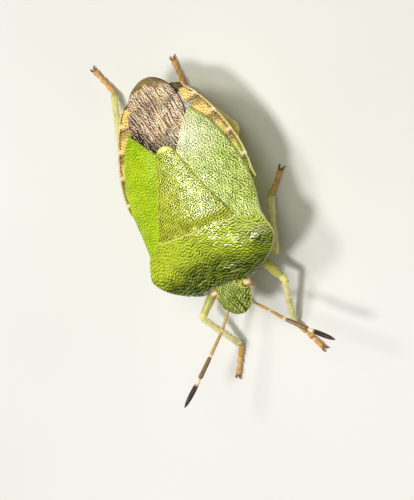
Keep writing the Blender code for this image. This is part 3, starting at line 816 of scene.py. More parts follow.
def pronotum_paint(x, y, a, b, edges):
    """Pale side margins, rear hem and streaks; painted shade towards the head and on the left shoulder."""
    side = within(np.minimum(edges[RIGHT], edges[LEFT]), 0.065)
    side = side * (0.35 + 0.65 * after(y, -1.5, 0.8)) * after(y, -2.7, 0.5)
    hem = 0.85 * (ease(1.3 - edges[REAR] / 0.05) * before(np.abs(x), 2.3, 0.3))
    streak = callus_streak(x, y)
    # Painted shade towards the head, where the surface turns from the light, with some darker green of its
    # own; the bumps are darker too
    ahead = ease((-0.70 - 0.15 * np.abs(x) - y + 0.25 * drift(x, y, 0.5, 36)) / 1.3)
    dark = 0.95 * ahead + 0.25 * callus(x, y) + 0.12 * drift(x, y, 0.25, 38) * ahead
    # Painted shade on the left shoulder
    left_shoulder_painted_shade = 0.8 * after(x, 1.6, 1.3) * before(y, -0.4, 0.7)
    dark = np.maximum(dark, left_shoulder_painted_shade) * (1 - 0.5 * streak)
    return {"margin": np.maximum.reduce([side, hem, 0.45 * streak]), "shade": np.clip(dark, 0, 1)}


plate(
    "pronotum_shell",
    pronotum_place,
    size=(7.4, 3.1),
    finish=finishes["pronotum"],
    node="pronotum",
    furrow={"apart": 0.140, "seed": 101, "lean": 90, "spread": 90, "bend": 0.33},
    depth=0.0040,
    rim=(0.10, 0.05),
    paint=pronotum_paint,
    relief=pronotum_relief,
    smooth=pronotum_smooth,
    rolled=(LEFT, RIGHT, FRONT),
)

# %% [markdown]
# ## Scutellum
# The scutellum is the long triangular shield between the wings. Its tip is blunt, pale
# and smooth. It lies a little proud of the wings, whose inner edges tuck in beneath it,
# so its sheet is lifted along the middle and dips at its sides.

# %% Outline of the scutellum
# Half width at places along the body
SCUTELLUM = [
    (-0.20, 2.34),
    (0.27, 2.18),
    (1.00, 1.93),
    (1.60, 1.66),
    (2.30, 1.33),
    (3.00, 1.04),
    (3.60, 0.83),
    (4.10, 0.66),
    (4.45, 0.46),
    (4.60, 0.28),
    (4.67, 0.06),
]
LIFT_MIDDLE = 0.07
LIFT_FALL = 0.06
BASE_TUCK = 0.125
TIP_START = 4.28
TIP_ASIDE = 0.10


def scutellum_place(a, b):
    """The scutellum's sheet, from its base under the pronotum to its tip."""
    y = blend(SCUTELLUM[0][0], SCUTELLUM[-1][0], 1 - (1 - b) ** 1.25)
    x = a * along(SCUTELLUM, y)[0] - TIP_ASIDE * after(y, 3.2, 1.2)
    tuck = BASE_TUCK * before(y, 0.80, 0.62)
    return x, y, back_height(x, y) + LIFT_MIDDLE - LIFT_FALL * a * a - tuck


print("the scutellum's sheet is", SCUTELLUM[-1][0] - SCUTELLUM[0][0], "mm long")

# %% The scutellum's plate


def scutellum_tip(x, y, a, b):
    """1 on the smooth, pale tip."""
    return after(y + 0.10 * drift(x, y, 0.15, 41), TIP_START, 0.22)


def scutellum_paint(x, y, a, b, edges):
    """Pale tip, edge lines and three small spots at the base; painted shadow at the sides, and brown
    blotches with painted shadow at the base.
    """
    middle_spot = ease(1.6 * (1 - np.hypot((x - 0.05) / 0.12, (y - 0.30) / 0.16)))
    from_spot = np.hypot((np.abs(x) - 1.15) / 0.16, (y - 0.26) / 0.10)
    spots = np.maximum(middle_spot, 0.7 * ease(1.6 * (1 - from_spot)))
    rim = np.maximum(0.3 * within(edges[RIGHT], 0.05), 0.6 * within(edges[LEFT], 0.05))
    # Painted shadow in a line just inside both edges
    beside = 0.25 * near(np.minimum(edges[RIGHT], edges[LEFT]), 0.11, 0.06) * before(y, 4.2, 1.0)
    # Painted shadow along the left edge, where it overlaps the wing
    painted_edge_shadow = 0.95 * near(edges[LEFT], 0.02, 0.06) * near(y, 0.95, 0.85)
    # Brown blotches at the base, with painted shadow under the pronotum's rear edge
    base_blotches_and_painted_shadow = 0.6 * before(y, 0.9, 0.7) * (0.6 + 0.4 * drift(x, y, 0.3, 42))
    return {
        "margin": np.maximum.reduce([0.85 * scutellum_tip(x, y, a, b), rim * (1 - painted_edge_shadow), spots]),
        "shade": np.maximum.reduce([beside, painted_edge_shadow, base_blotches_and_painted_shadow]),
    }


plate(
    "scutellum_shell",
    scutellum_place,
    size=(4.6, 4.9),
    finish=finishes["scutellum"],
    node="scutellum",
    furrow={"apart": 0.122, "seed": 202, "lean": 90, "spread": 170},
    depth=0.0048,
    rim=(0.08, 0.03),
    paint=scutellum_paint,
    relief=nowhere,
    smooth=scutellum_tip,
    rolled=(LEFT, RIGHT, FRONT, REAR),
)

# %% [markdown]
# ## Forewings
# The front half of a shield bug's forewing is leathery. A fine groove parts the clavus,
# the strip beside the scutellum, from the rest. The wing ends in a slanting edge where
# the thin membrane starts. The left wing lies over the right, so they end differently.

# %% Edge of the closed wings
# Width of the abdomen's rim left bare beside the wings, at places along the body
BARE_BAND = [
    (-0.50, 0.02),
    (1.00, 0.08),
    (1.80, 0.18),
    (2.40, 0.27),
    (3.10, 0.37),
    (3.90, 0.48),
    (4.60, 0.53),
    (5.10, 0.60),
    (5.50, 0.72),
    (5.90, 0.76),
    (6.20, 0.70),
    (6.50, 0.57),
    (6.80, 0.46),
    (7.10, 0.26),
    (7.40, 0.10),
]
LEFT_BARE = 0.20


def bare_band(y, side):
    """Width of the abdomen left bare beside the wings; the left side shows more of it."""
    wider = LEFT_BARE * near(y, 6.3, 0.9) if side == "left" else 0
    return along(BARE_BAND, y)[0] + wider


def wing_edge(y, side):
    """Half width of the closed wings."""
    return along(BACK, y)[0] - bare_band(y, side)


print("half width of the closed wings 3 mm back:", wing_edge(3.0, "left").round(2))

# %% A wing's sheet
WING_INNER = (-0.10, 4.30)
WING_OUTER_FRONT = -0.50
WING_OUTER_REAR = {"left": 6.05, "right": 5.78}
WING_END_BULGE = {"left": 0.20, "right": 0.06}
WING_INNER_END = 0.55
WING_UNDER = 0.10


def wing_place(side):
    """The place function of one wing, from under the scutellum to its outer edge."""
    sign = 1 if side == "left" else -1

    def place(a, b):
        """The wing's sheet; outward is 0 at its inner edge and 1 at its outer one."""
        outward = (a * sign + 1) / 2
        inner_y = blend(*WING_INNER, b)
        inner_x = np.maximum(along(SCUTELLUM, inner_y)[0] - WING_UNDER, WING_INNER_END)
        outer_y = blend(WING_OUTER_FRONT, WING_OUTER_REAR[side], b)
        x = blend(inner_x, wing_edge(outer_y, side), outward)
        y = blend(inner_y, outer_y, outward)
        y = y + WING_END_BULGE[side] * np.sin(math.pi * outward**1.3) * after(b, 0.75, 0.25)
        tuck = 0.05 * within(outward, 0.5) + 0.12 * before(y, 0.05, 0.4)
        tuck = tuck + 0.09 * before(y, 1.0, 0.7) * within(outward, 0.3)
        return sign * x, y, back_height(x, y) - tuck

    return place


# %% Both wings
WING_FURROWS = {
    "left": {"apart": 0.122, "seed": 303, "lean": 40},
    "right": {"apart": 0.136, "seed": 404, "lean": 100},
}
WING_OUTSIDE = {"left": LEFT, "right": RIGHT}


def clavus_groove(outward, b):
    """1 in the groove between the clavus and the rest of the wing."""
    return near(outward, blend(0.36, 0.26, b), 0.016) * ease(3 - 4 * b)


def make_wing(side):
    """The leathery part of one wing, as a plate."""
    sign = 1 if side == "left" else -1

    def relief(x, y, a, b):
        """A raised vein, the groove beside the clavus and a hollow along the outer edge."""
        outward = (a * sign + 1) / 2
        vein = near(outward, 0.62 + 0.06 * b, 0.05) * ease(3 - 4 * b)
        return 0.016 * vein - 0.03 * clavus_groove(outward, b) - 0.008 * near(outward, 0.92, 0.06)

    def paint(x, y, a, b, edges):
        """Pale edges and a painted sheen, with painted shade in the groove and beside the scutellum's
        base.
        """
        outward = (a * sign + 1) / 2
        shoulder = within(edges[WING_OUTSIDE[side]], 0.08) * np.maximum(before(y, 1.6, 2.2), 0.35)
        inner_line = near(outward, 0.045 + 0.03 * b, 0.016) * after(y, 0.4, 0.4)
        # A whitish painted sheen on the left wing's rear inner part
        painted_sheen = 0.78 * after(y, 3.2, 1.6) * ease(1.4 - outward / 0.9) * (side == "left")
        rear_hem = 0.35 * within(edges[REAR], 0.07)
        # The pale mask holds the real pale edges and line and the painted sheen
        pale = np.maximum.reduce([shoulder, painted_sheen, rear_hem, 0.45 * inner_line])
        # Painted shadow beside the scutellum's base corner, and painted shade in the groove
        corner = within(np.hypot(np.abs(x) - 2.15, y - 0.35), 0.35)
        return {"margin": pale, "shade": np.maximum(0.30 * clavus_groove(outward, b), 0.6 * corner)}

    plate(
        f"forewing_{side}_shell",
        wing_place(side),
        size=(3.0, 6.4),
        finish=finishes[f"{side}_wing"],
        node=f"forewing_{side}",
        furrow={**WING_FURROWS[side], "spread": 150},
        depth=0.0060,
        rim=(0.07, 0.05),
        paint=paint,
        relief=relief,
        smooth=nowhere,
        rolled=(WING_OUTSIDE[side], REAR),
    )


for side in ("left", "right"):
    make_wing(side)

# %% [markdown]
# ## Wing membranes
# Behind the leathery part each wing is a thin, glassy sheet with raised veins, finely
# creased between them. The left one lies on top. They are smoky brown, darkest at the
# root, with an olive tip. Each is thickened into a real thin sheet, since its end stands
# free of the body.

# %% Membrane finish
ROSY = (204, 144, 134)
ROOT_BROWN = (12, 7, 3)
TIP_OLIVE = (118, 104, 48)
HEM_GREY = (196, 208, 214)
BORDER_BROWN = (40, 30, 22)
# Ground, pale ridges, tan clouds and dark of each membrane
MEMBRANE_BROWNS = {
    "left": [(208, 174, 112), (255, 242, 212), (212, 166, 92), (58, 32, 12)],
    "right": [(118, 90, 50), (232, 212, 172), (106, 74, 38), (22, 13, 6)],
}
MEMBRANE_COAT = {"left": 0.25, "right": 0.05}


def membrane_finish(side):
    """A smoky, creased, glossy finish for the wing membranes."""
    material, tree, shader = start_material(f"{side}_membrane", 0.4, MEMBRANE_COAT[side])
    ground, pale, tan, dark = (srgb(*colour) for colour in MEMBRANE_BROWNS[side])
    colour = tree.mix(tree.span(tree.noise(1500, 3), 0.40, 0.62), ground, tan)
    rosy = tree.times(tree.span(tree.noise(1300), 0.48, 0.60), 0.6)
    colour = tree.mix(rosy, colour, srgb(*ROSY))
    mottle = tree.span(tree.noise(3800), 0.48, 0.60)
    colour = tree.mix(tree.times(mottle, 0.8), colour, dark)
    colour = tree.mix(tree.times(tree.mask("ridge"), 0.85), colour, pale)
    blots = tree.span(tree.noise(1100, 3), 0.52, 0.66)
    colour = tree.mix(tree.times(blots, 0.45), colour, dark)
    colour = tree.mix(tree.mask("pit"), colour, dark)
    layers = {"root": ROOT_BROWN, "tip": TIP_OLIVE, "hem": HEM_GREY, "border": BORDER_BROWN}
    for mask, layer in layers.items():
        colour = tree.mix(tree.mask(mask), colour, srgb(*layer))
    tree.put(shader.inputs["Base Color"], colour)
    add_grain(tree, shader, 9000, 0.3)
    return material


left_membrane = membrane_finish("left")
right_membrane = membrane_finish("right")
print("membrane finishes:", left_membrane.name, right_membrane.name)

# %% Outline and veins of a membrane
MEMBRANE_WIDEST = 6.05
MEMBRANE_TIP = 8.17
MEMBRANE_ROUNDNESS = {"left": 1.8, "right": 2.2}
SEAM_START = (0.62, 4.18)
SEAM_OVERLAP = 0.25
VEIN_TURN = 25
VEIN_APART = 0.46
VEIN_MIDDLE = 6.0


def wing_seam(side, x):
    """Where the leathery part ends, along the body, at a distance from the midline."""
    outer_y = WING_OUTER_REAR[side]
    slope = (outer_y - SEAM_START[1]) / (float(wing_edge(outer_y, side)) - SEAM_START[0])
    return SEAM_START[1] + slope * (np.abs(x) - SEAM_START[0])


def membrane_rear(a, x):
    """The rounded rear end of both membranes, along the body."""
    power = np.where(x > 0, MEMBRANE_ROUNDNESS["left"], MEMBRANE_ROUNDNESS["right"])
    return blend(MEMBRANE_WIDEST, MEMBRANE_TIP, np.sqrt(np.maximum(1 - np.abs(a) ** power, 0)))


def right_front(x):
    """Where the right membrane starts, under its own wing and under the left membrane."""
    return np.where(x < 0, wing_seam("right", x) - SEAM_OVERLAP, 5.0)


def left_front(x):
    """Where the left membrane starts: under its wing, and in a slant over the right one."""
    beside_wing = wing_seam("left", x) - SEAM_OVERLAP
    over_right = 4.60 - 1.85 * (x + 0.30)
    return np.maximum(np.where(x > -0.15, beside_wing, over_right), 4.35)


def veins(x, y):
    """1 on a vein, and 1 in the dark line beside it; veins slant and fan out a little."""
    turn = math.radians(VEIN_TURN)
    off_middle = y - VEIN_MIDDLE
    run = (x * math.cos(turn) + off_middle * math.sin(turn)) / (1 + 0.08 * off_middle)
    off = (run / VEIN_APART + 0.25 * drift(x, y, 0.9, 51)) % 1 - 0.5
    return near(off, 0.0, 0.10), near(off, 0.15, 0.08)


def creases(x, y, seed):
    """Fine folds along the veins, with a few across them."""
    long = furrows(x, y, 0.15, seed, VEIN_TURN, 40)
    short = furrows(x, y, 0.11, seed + 3, VEIN_TURN + 20, 170)
    return 0.60 * long + 0.70 * short


seams = {side: round(float(wing_seam(side, 1.0)), 2) for side in ("left", "right")}
print("the wings' seams, 1 mm from the midline:", seams)

# %% Dark roots and olive tip of a membrane


def root_mask(x, y, seed):
    """1 in the dark roots: beside the right wing's seam and behind the scutellum."""
    off_seam = y - wing_seam("right", x) + 0.2 * drift(x, y, 0.25, seed + 9)
    right_root = within(off_seam - 0.35, 0.6) * before(x, 0.3, 0.5)
    behind = before(y, 5.05, 0.35) * after(x, -0.5, 0.3)
    return np.maximum(right_root, 0.8 * behind)


def membrane_masks(x, y, edge, fold, vein, beside, seed):
    """Hollows, ridges, root, tip and dark border of a membrane."""
    tip = ease((y - 7.66 + 0.25 * ease(x / 0.6) + 0.22 * drift(x, y, 0.3, seed + 8)) / 0.26)
    hollow = np.maximum(0.95 * after(-fold, 0.25, 0.8), 0.85 * beside)
    return {
        "pit": hollow * (1 - 0.5 * tip) * (1 - 0.8 * vein),
        "ridge": np.maximum(after(fold, 0.15, 0.8), vein) * (1 - 0.8 * tip),
        "root": 0.97 * root_mask(x, y, seed) * (1 - 0.95 * after(fold, 0.62, 0.35)),
        "tip": 0.85 * tip,
        "border": 0.9 * within(edge, 0.06) * after(x, -0.2, 0.6),
    }


# %% Both membranes
MEMBRANE_ASIDE = -0.15
MEMBRANE_HALF = 1.65
MEMBRANE_CELLS = 175
MEMBRANE_BELOW_BACK = 0.04
MEMBRANE_THICKNESS = 0.03
VEIN_HEIGHT = 0.024
FOLD_HEIGHT = 0.014
RIPPLE_HEIGHT = 0.02
RIM_DROP = 0.05


def make_membrane(name, front_of, lift, finish, nodes, seed):
    """One membrane from its front edge to its rounded end, as a thin sheet."""
    a, b = np.meshgrid(np.linspace(-1, 1, MEMBRANE_CELLS), np.linspace(0, 1, MEMBRANE_CELLS))
    x = MEMBRANE_ASIDE + a * MEMBRANE_HALF
    rear = membrane_rear(a, x)
    front = np.minimum(front_of(x), rear - 0.02)
    y = blend(front, rear, b)
    side_seam = np.where(x > 0, wing_seam("left", x), wing_seam("right", x))
    under = 0.10 * before(y, side_seam + 0.25, 0.35) + 0.10 * before(y, 4.85, 0.3) * (np.abs(x) < 0.8)
    points = np.stack([x, y, back_height(x, y) - MEMBRANE_BELOW_BACK + lift - under], -1)
    edges = edge_distances(points)
    edge = np.minimum.reduce([edges[RIGHT], edges[LEFT], edges[REAR]])
    fold = creases(x, y, seed) * ease(edge / 0.18)
    vein, beside = (mark * ease(edge / 0.25) * ease(edges[FRONT] / 0.2) for mark in veins(x, y))
    rise = VEIN_HEIGHT * vein + FOLD_HEIGHT * np.tanh(fold)
    rise += RIPPLE_HEIGHT * drift(x, y, 0.45, seed + 7)
    rise -= RIM_DROP * (1 - ease(edge / 0.3)) ** 2
    points = points + sheet_normals(points) * rise[..., None]
    masks = membrane_masks(x, y, edge, fold, vein, beside, seed)
    made = piece(name, [patch(points, masks)], finish, nodes)
    thicken = made.modifiers.new("thin sheet", "SOLIDIFY")
    thicken.thickness = MEMBRANE_THICKNESS * MM
    thicken.offset = -1


make_membrane("membrane_right", right_front, -0.05, right_membrane, [], 61)
make_membrane("membrane_left", left_front, 0.03, left_membrane, ["wing_membrane"], 71)

# %% Hem of the left membrane
# Inner and outer corner at its front end, then at its rear end
HEM_CORNERS = [(1.30, 5.55), (1.95, 6.15), (1.30, 6.95), (1.72, 6.80)]


def make_hem():
    """The narrow outer strip of the left membrane that is folded down beside its body."""
    a, b = np.meshgrid(np.linspace(0, 1, 40), np.linspace(0, 1, 60))
    inner_front, outer_front, inner_rear, outer_rear = HEM_CORNERS
    inner = [blend(inner_front[k], inner_rear[k], b) for k in (0, 1)]
    outer = [blend(outer_front[k], outer_rear[k], b) for k in (0, 1)]
    x, y = (blend(inner[k], outer[k], a) for k in (0, 1))
    folds = creases(x, y, 91)
    z = back_height(x, y) - 0.12 - 0.05 * a + 0.012 * np.tanh(folds)
    masks = {
        "hem": 0.8 * after(folds, -0.6, 0.5),
        "pit": 0.9 * ease(-folds - 0.2),
        "border": 0.5 * near(a, 1, 0.2),
    }
    piece("membrane_hem", [patch(np.stack([x, y, z], -1), masks)], left_membrane)


make_hem()

# %% [markdown]
# ## Trunk and abdomen
# Under the plates lie the thorax and the abdomen. Both are lofted through many rings.
# The abdomen's rim, the connexivum, shows beside the folded wings. It is notched at each
# joint between two rings of the abdomen, with a pale spot on the joint and a dark blot
# ahead of it, and a pale line runs along its edge. The belly keeps the same joints as
# soft steps, with a row of breathing holes on each side.

# %% Thorax
# Height of the underside's middle at places along the body
THORAX_KEEL = [(-2.62, 1.78), (-2.00, 1.38), (-1.00, 1.22), (0.00, 1.16), (1.62, 1.10)]
THORAX_ENDS = (-2.86, 1.66)
KEEL_SHARPNESS = 1.45
SIDE_INSET = 0.12
EDGE_BELOW_BACK = 0.30
PLATE_DEPTH = 0.65
THORAX_SEAMS = (-1.05, 0.62)
THORAX_ROOF = 40


def belly_ring(half, edge, keel, shares):
    """The part of a ring below the side edge, from right to left."""
    return half * shares, edge - (edge - keel) * (1 - np.abs(shares) ** KEEL_SHARPNESS)


def thorax_points():
    """The thorax as rings of points, and 1 on those that face down."""
    y = np.linspace(*THORAX_ENDS, 200)[:, None]
    half, _, edge = along(BACK, y)
    neck = after(y, -2.95, 0.5)
    half = (half - SIDE_INSET) * blend(0.66, 1.0, neck)
    edge = edge - EDGE_BELOW_BACK
    keel = along(THORAX_KEEL, y)[0] + 0.35 * (1 - neck)
    x, z = belly_ring(half, edge, keel, np.linspace(-1, 1, 280)[None, :])
    share = np.linspace(1, -1, THORAX_ROOF)[None, 1:-1]
    roof_x = half * share
    roof_z = np.minimum(back_height(roof_x, y + 0 * roof_x) - PLATE_DEPTH, edge + 0.6)
    roof_z = blend(edge, roof_z, ease((1 - np.abs(share)) * 6))
    below = np.stack([x, y + 0 * x, z], -1)
    roof = np.stack([roof_x, y + 0 * roof_x, roof_z], -1)
    under = np.pad(np.ones_like(x), ((0, 0), (0, THORAX_ROOF - 2)))
    return np.concatenate([below, roof], 1), under


def make_thorax():
    """The thorax with furrowed sides and the seams between its rings."""
    points, under = thorax_points()
    x, y = points[..., 0], points[..., 1]
    maze = furrows(1.3 * x, y, 0.18, 505) * under * after(np.abs(x), 0.5, 0.5)
    seams = np.maximum.reduce([near(y, place, 0.05) for place in THORAX_SEAMS])
    seams = seams * after(np.abs(x), 0.5, 0.3) * under
    masks = {"pit": ease(-maze), "ridge": ease(maze), "margin": 0 * x, "shade": 0.6 * seams}
    points[..., 2] -= 0.016 * np.tanh(maze) - 0.06 * seams
    piece("thorax_shell", [patch(points, masks, True)], finishes["belly"], ["thorax"])


make_thorax()

# %% Rim finish
RIM_GROUND = (250, 218, 118)
RIM_PIT = (146, 100, 36)
RIM_BLOT = (62, 34, 10)
RIM_SPOT = (250, 214, 186)
RIM_LINE = (244, 206, 166)


def rim_finish():
    """The belly's cuticle, with the rim's own warm ground, dark blots and pale spots."""
    material, tree, shader = start_material("abdomen_cuticle", 0.46, 0.3)
    colour = pigment(tree, SHELL_COLOURS["belly"], 0.6)["Color"]
    warm = tree.mix(tree.times(tree.mask("pit"), 0.8), srgb(*RIM_GROUND), srgb(*RIM_PIT))
    colour = tree.mix(tree.mask("warm"), colour, warm)
    for mask, layer in {"blot": RIM_BLOT, "spot": RIM_SPOT, "line": RIM_LINE}.items():
        colour = tree.mix(tree.mask(mask), colour, srgb(*layer))
    tree.put(shader.inputs["Base Color"], colour)
    add_grain(tree, shader, 14000, 0.25)
    return material


# %% Masks of the rim
RIM_JOINTS = [2.72, 4.10, 5.33, 6.47]
JOINT_SKEW = 0.06
SEGMENT_ENDS = [1.60, *RIM_JOINTS, 7.30]
RIM_INSIDE = 0.16
HOLE_OUTWARD = 0.78
HOLE_RADIUS = 0.07


def joint_nearness(x, y, width, ahead=0.0):
    """1 at a joint of the rim, or so far ahead of it; the left side's lie further back."""
    return np.maximum.reduce([near(y - JOINT_SKEW * x, joint - ahead, width) for joint in RIM_JOINTS])


def rim_masks(x, y, half, maze):
    """Warm ground, dark blots, pale spots and pale edge line of the rim."""
    from_edge = half - np.abs(x)
    mottle = 0.5 + 0.5 * np.tanh(1.5 * maze)
    ahead = np.maximum(joint_nearness(x, y, 0.22, 0.26), 0.75 * joint_nearness(x, y, 0.35, 0.45))
    blot = ahead * after(from_edge, 0.06, 0.05) * (1 - 0.35 * mottle * after(from_edge, 0.2, 0.1))
    thin_line = 0.95 * near(from_edge, 0.16, 0.11) * (1 - joint_nearness(x, y, 0.12))
    tail = after(y, 6.98, 0.12) * after(from_edge, 0.03, 0.05)
    return {
        "warm": ease((y - 2.8 + 0.5 * drift(x, y, 0.5, 83)) / 2.2),
        "blot": np.clip(np.maximum.reduce([0.92 * blot, thin_line * (1 - 0.4 * mottle), tail]), 0, 0.95),
        "spot": 0.95 * joint_nearness(x, y, 0.13) * ease(1.6 * (1 - from_edge / 0.42)),
        "line": 0.9 * within(from_edge, 0.075),
    }


def hole_spots(x, y, half):
    """Dark dots for the breathing holes, one a ring on each side of the belly."""
    dots = 0 * x
    for start, end in zip(SEGMENT_ENDS, SEGMENT_ENDS[1:]):
        middle = (start + end) / 2 - 0.1
        away = np.hypot(np.abs(x) - HOLE_OUTWARD * half, y - middle)
        dots = np.maximum(dots, ease(2 * (1 - away / HOLE_RADIUS)))
    return dots


print("rings of the abdomen that show:", len(SEGMENT_ENDS) - 1)

# %% Rings of the abdomen
# Height of the belly's middle at places along the body
ABDOMEN_KEEL = [
    (1.62, 1.00),
    (1.87, 0.95),
    (3.00, 0.72),
    (4.00, 0.72),
    (5.00, 0.84),
    (6.00, 1.14),
    (6.80, 1.60),
    (7.30, 2.02),
]
ABDOMEN_ENDS = (1.64, 7.30)
TAIL_CAP = 0.16
RIM_COLUMNS = 44
NOTCH_DEPTH = 0.04


def rim_side(side, core_y, half, rim_height, edge, lift):
    """One side's rim, from its outer edge to the wall under the wing."""
    share = np.linspace(0, 1, RIM_COLUMNS)[None, 1:]
    inner = np.maximum(wing_edge(core_y, side) - RIM_INSIDE, 0.2)
    x = blend(half, inner, share)
    climb = np.minimum(back_height(x, core_y + 0 * x) - 0.04, edge + 0.25) - edge
    swell = 0.035 * np.sin(math.pi * np.clip(share * 1.1, 0, 1)) * lift
    return x, rim_height + swell + climb * 0.55 * lift * share, inner


def abdomen_strips(y):
    """The belly, the left rim, the floor under the wings and the right rim, as x and z."""
    past = np.clip((y - ABDOMEN_ENDS[1]) / TAIL_CAP, 0, 1)
    core_y = np.minimum(y, ABDOMEN_ENDS[1])
    half, _, edge = along(BACK, core_y)
    joint = np.maximum.reduce([near(core_y, place, 0.09) for place in RIM_JOINTS])
    half = (half - 0.03 - NOTCH_DEPTH * joint) * (1 - 0.36 * past**2)
    lift = after(along(BARE_BAND, core_y)[0], 0.10, 0.15)
    rim_height = edge - 0.42 * (1 - lift) - 0.12 * past**2
    keel = along(ABDOMEN_KEEL, core_y)[0] + 0.035 * joint + 0.25 * past**2
    belly = belly_ring(half, rim_height, keel, np.linspace(-1, 1, 180)[None, :])
    left_x, left_z, left_inner = rim_side("left", core_y, half, rim_height, edge, lift)
    right_x, right_z, right_inner = rim_side("right", core_y, half, rim_height, edge, lift)
    across = np.linspace(0, 1, 30)[None, 1:-1]
    floor_x = blend(left_inner, -right_inner, across)
    wall_top = blend(left_z[:, -1:], right_z[:, -1:], across)
    floor_z = np.minimum(back_height(floor_x, core_y + 0 * floor_x) - 0.30, wall_top + 0.4) - 0.25 * past
    right_rim = (-right_x[:, ::-1], right_z[:, ::-1])
    return [belly, (left_x, left_z), (floor_x, floor_z), right_rim], half, joint


# %% Abdomen with its rim


def make_abdomen():
    """The abdomen as one tube, with masks for its belly, its rim and the floor between."""
    core, cap = np.linspace(*ABDOMEN_ENDS, 300), np.linspace(7.31, 7.47, 12)
    rows = np.concatenate([core, cap])[:, None]
    strips, half, joint = abdomen_strips(rows)
    points = np.concatenate([np.stack([x, rows + 0 * x, z], -1) for x, z in strips], 1)
    x, y = points[..., 0], points[..., 1]
    kinds = np.concatenate([np.full(strip[0].shape[1], kind) for kind, strip in enumerate(strips)])
    on_belly, on_rim = kinds == 0, (kinds == 1) | (kinds == 3)
    maze = furrows(x, y, 0.115, 606, 90, 160)
    holes = hole_spots(x, y, half) * on_belly
    pits = np.where(on_belly, 0.4 * ease(-maze), after(-maze, 0.15, 0.6))
    masks = {"pit": pits, "ridge": 0.6 * ease(maze), "shade": holes, "margin": 0 * x}
    for key, value in rim_masks(x, y, half, maze).items():
        masks[key] = value * on_rim
    masks["blot"] = np.maximum(masks["blot"], 0.8 * (kinds == 2))
    points[..., 2] += np.where(on_rim, 0.014 * np.tanh(maze), 0.03 * joint * on_belly)
    piece("abdomen_shell", [patch(points, masks, True)], rim_finish(), ["abdomen"])


make_abdomen()

# %% [markdown]
# ## Round things and limbs
# Eyes, feelers, beak and legs are all tubes or balls. tube() sweeps a ring of points
# along a route and lets its radius swell and shrink on the way. The ring may be slightly
# angular, as a shin is. The frame of the ring is carried along the route without twist.

# %% Tubes


def smooth_route(points, count):
    """Evenly spaced points on the smooth curve through a few."""
    points = np.asarray(points, float)
    lengths = np.concatenate([[0], np.cumsum(np.linalg.norm(np.diff(points, axis=0), axis=1))])
    stations = np.column_stack([lengths, points])
    return np.stack(along(stations, np.linspace(0, lengths[-1], count)), -1)


def tube(route, girth, sides=16, count=40, angular=0.0, masks=None):
    """A closed tube along a route; girth is a list of (share of length, radius)."""
    line = smooth_route(route, count)
    share = np.linspace(0, 1, count)
    way = np.gradient(line, axis=0)
    way /= np.linalg.norm(way, axis=1, keepdims=True)
    side = np.cross(way[0], (0, 0, 1.0))
    turn = np.linspace(0, 2 * math.pi, sides, endpoint=False)[:, None]
    shape = 1 + angular * np.cos(3 * turn)
    rings = []
    for spot, ahead, size in zip(line, way, along(girth, share)[0]):
        side = side - ahead * side.dot(ahead)
        side /= np.linalg.norm(side)
        around = np.cos(turn) * side + np.sin(turn) * np.cross(side, ahead)
        rings.append(spot + around * size * shape)
    found = {"along": np.broadcast_to(share[:, None], (count, sides))}
    found.update({key: np.full((count, sides), float(value)) for key, value in (masks or {}).items()})
    return patch(np.array(rings), found, True)


# %% Balls
POLE_GAP = 0.03


def unit_ball(rows, columns):
    """Points of a ball of radius 1, open by a hair at both poles."""
    rise = np.linspace(-math.pi / 2 + POLE_GAP, math.pi / 2 - POLE_GAP, rows)[:, None]
    turn = np.linspace(0, 2 * math.pi, columns, endpoint=False)[None, :]
    flat = np.cos(rise)
    points = np.stack([flat * np.cos(turn), flat * np.sin(turn), np.sin(rise) + 0 * turn], -1)
    return points, rise, turn


def ball(middle, radii, rows=24, columns=32, masks=None):
    """An ellipsoid as a tube that closes at both poles."""
    points = np.asarray(middle) + unit_ball(rows, columns)[0] * np.asarray(radii)
    found = {key: np.full(points.shape[:2], float(value)) for key, value in (masks or {}).items()}
    return patch(points, found, True)


def mirrored(point, side):
    """A point given for the left side, on the named side."""
    return (point[0] if side == "left" else -point[0], *point[1:])


print("rows, sides and numbers of a ball's points:", ball((0, 0, 0), (1, 1, 1))["points"].shape)

# %% [markdown]
# ## Head
# The head gets the most care. It is a flat wedge: a long middle lobe, the tylus, lies
# between two cheeks with raised rims, and fine grooves part them. The loft runs from the
# tip to the neck, hidden under the pronotum. Its maze of furrows is finer than on the
# back. A pale rim lies round each eye, and a pale ring round each of the two simple eyes
# on top. Under the cheeks sit the knobs that carry the feelers and the two small ridges
# that hold the beak.

# %% Outline of the head
# Along the body: half width, then the height of the crown, the side edge and the throat
HEAD = [
    (-4.61, 0.12, 2.86, 2.80, 2.66),
    (-4.58, 0.25, 2.88, 2.80, 2.60),
    (-4.49, 0.44, 2.94, 2.81, 2.46),
    (-4.36, 0.62, 3.02, 2.84, 2.30),
    (-4.15, 0.79, 3.13, 2.88, 2.14),
    (-3.92, 0.89, 3.26, 2.92, 1.99),
    (-3.68, 0.96, 3.38, 2.96, 1.88),
    (-3.45, 1.00, 3.47, 3.00, 1.84),
    (-3.22, 0.96, 3.52, 3.03, 1.88),
    (-3.02, 0.89, 3.54, 3.05, 1.98),
    (-2.70, 0.80, 3.50, 3.00, 2.10),
]
HEAD_ASIDE = -0.07
EYE_PLACE = (1.00, -3.21, 3.10)
OCELLUS_PLACE = (0.50, -2.96, 3.44)
TYLUS_HALF = (0.16, 0.22)
TYLUS_ASIDE = 0.14


def tylus_line(x, y, aside=0.0):
    """1 in the grooves that part the middle lobe from the cheeks, or so far beside them."""
    half_lobe = blend(*TYLUS_HALF, after(y, -4.5, 0.9)) + aside
    return near(np.abs(x), half_lobe, 0.055) * before(y, -3.50, 0.30)


def eye_orbit(x, y):
    """1 on the raised, pale rim round each eye."""
    away = np.hypot((np.abs(x) - EYE_PLACE[0]) / 0.31, (y - EYE_PLACE[1]) / 0.23)
    return near(away, 1.0, 0.32) * before(y, -2.90, 0.1)


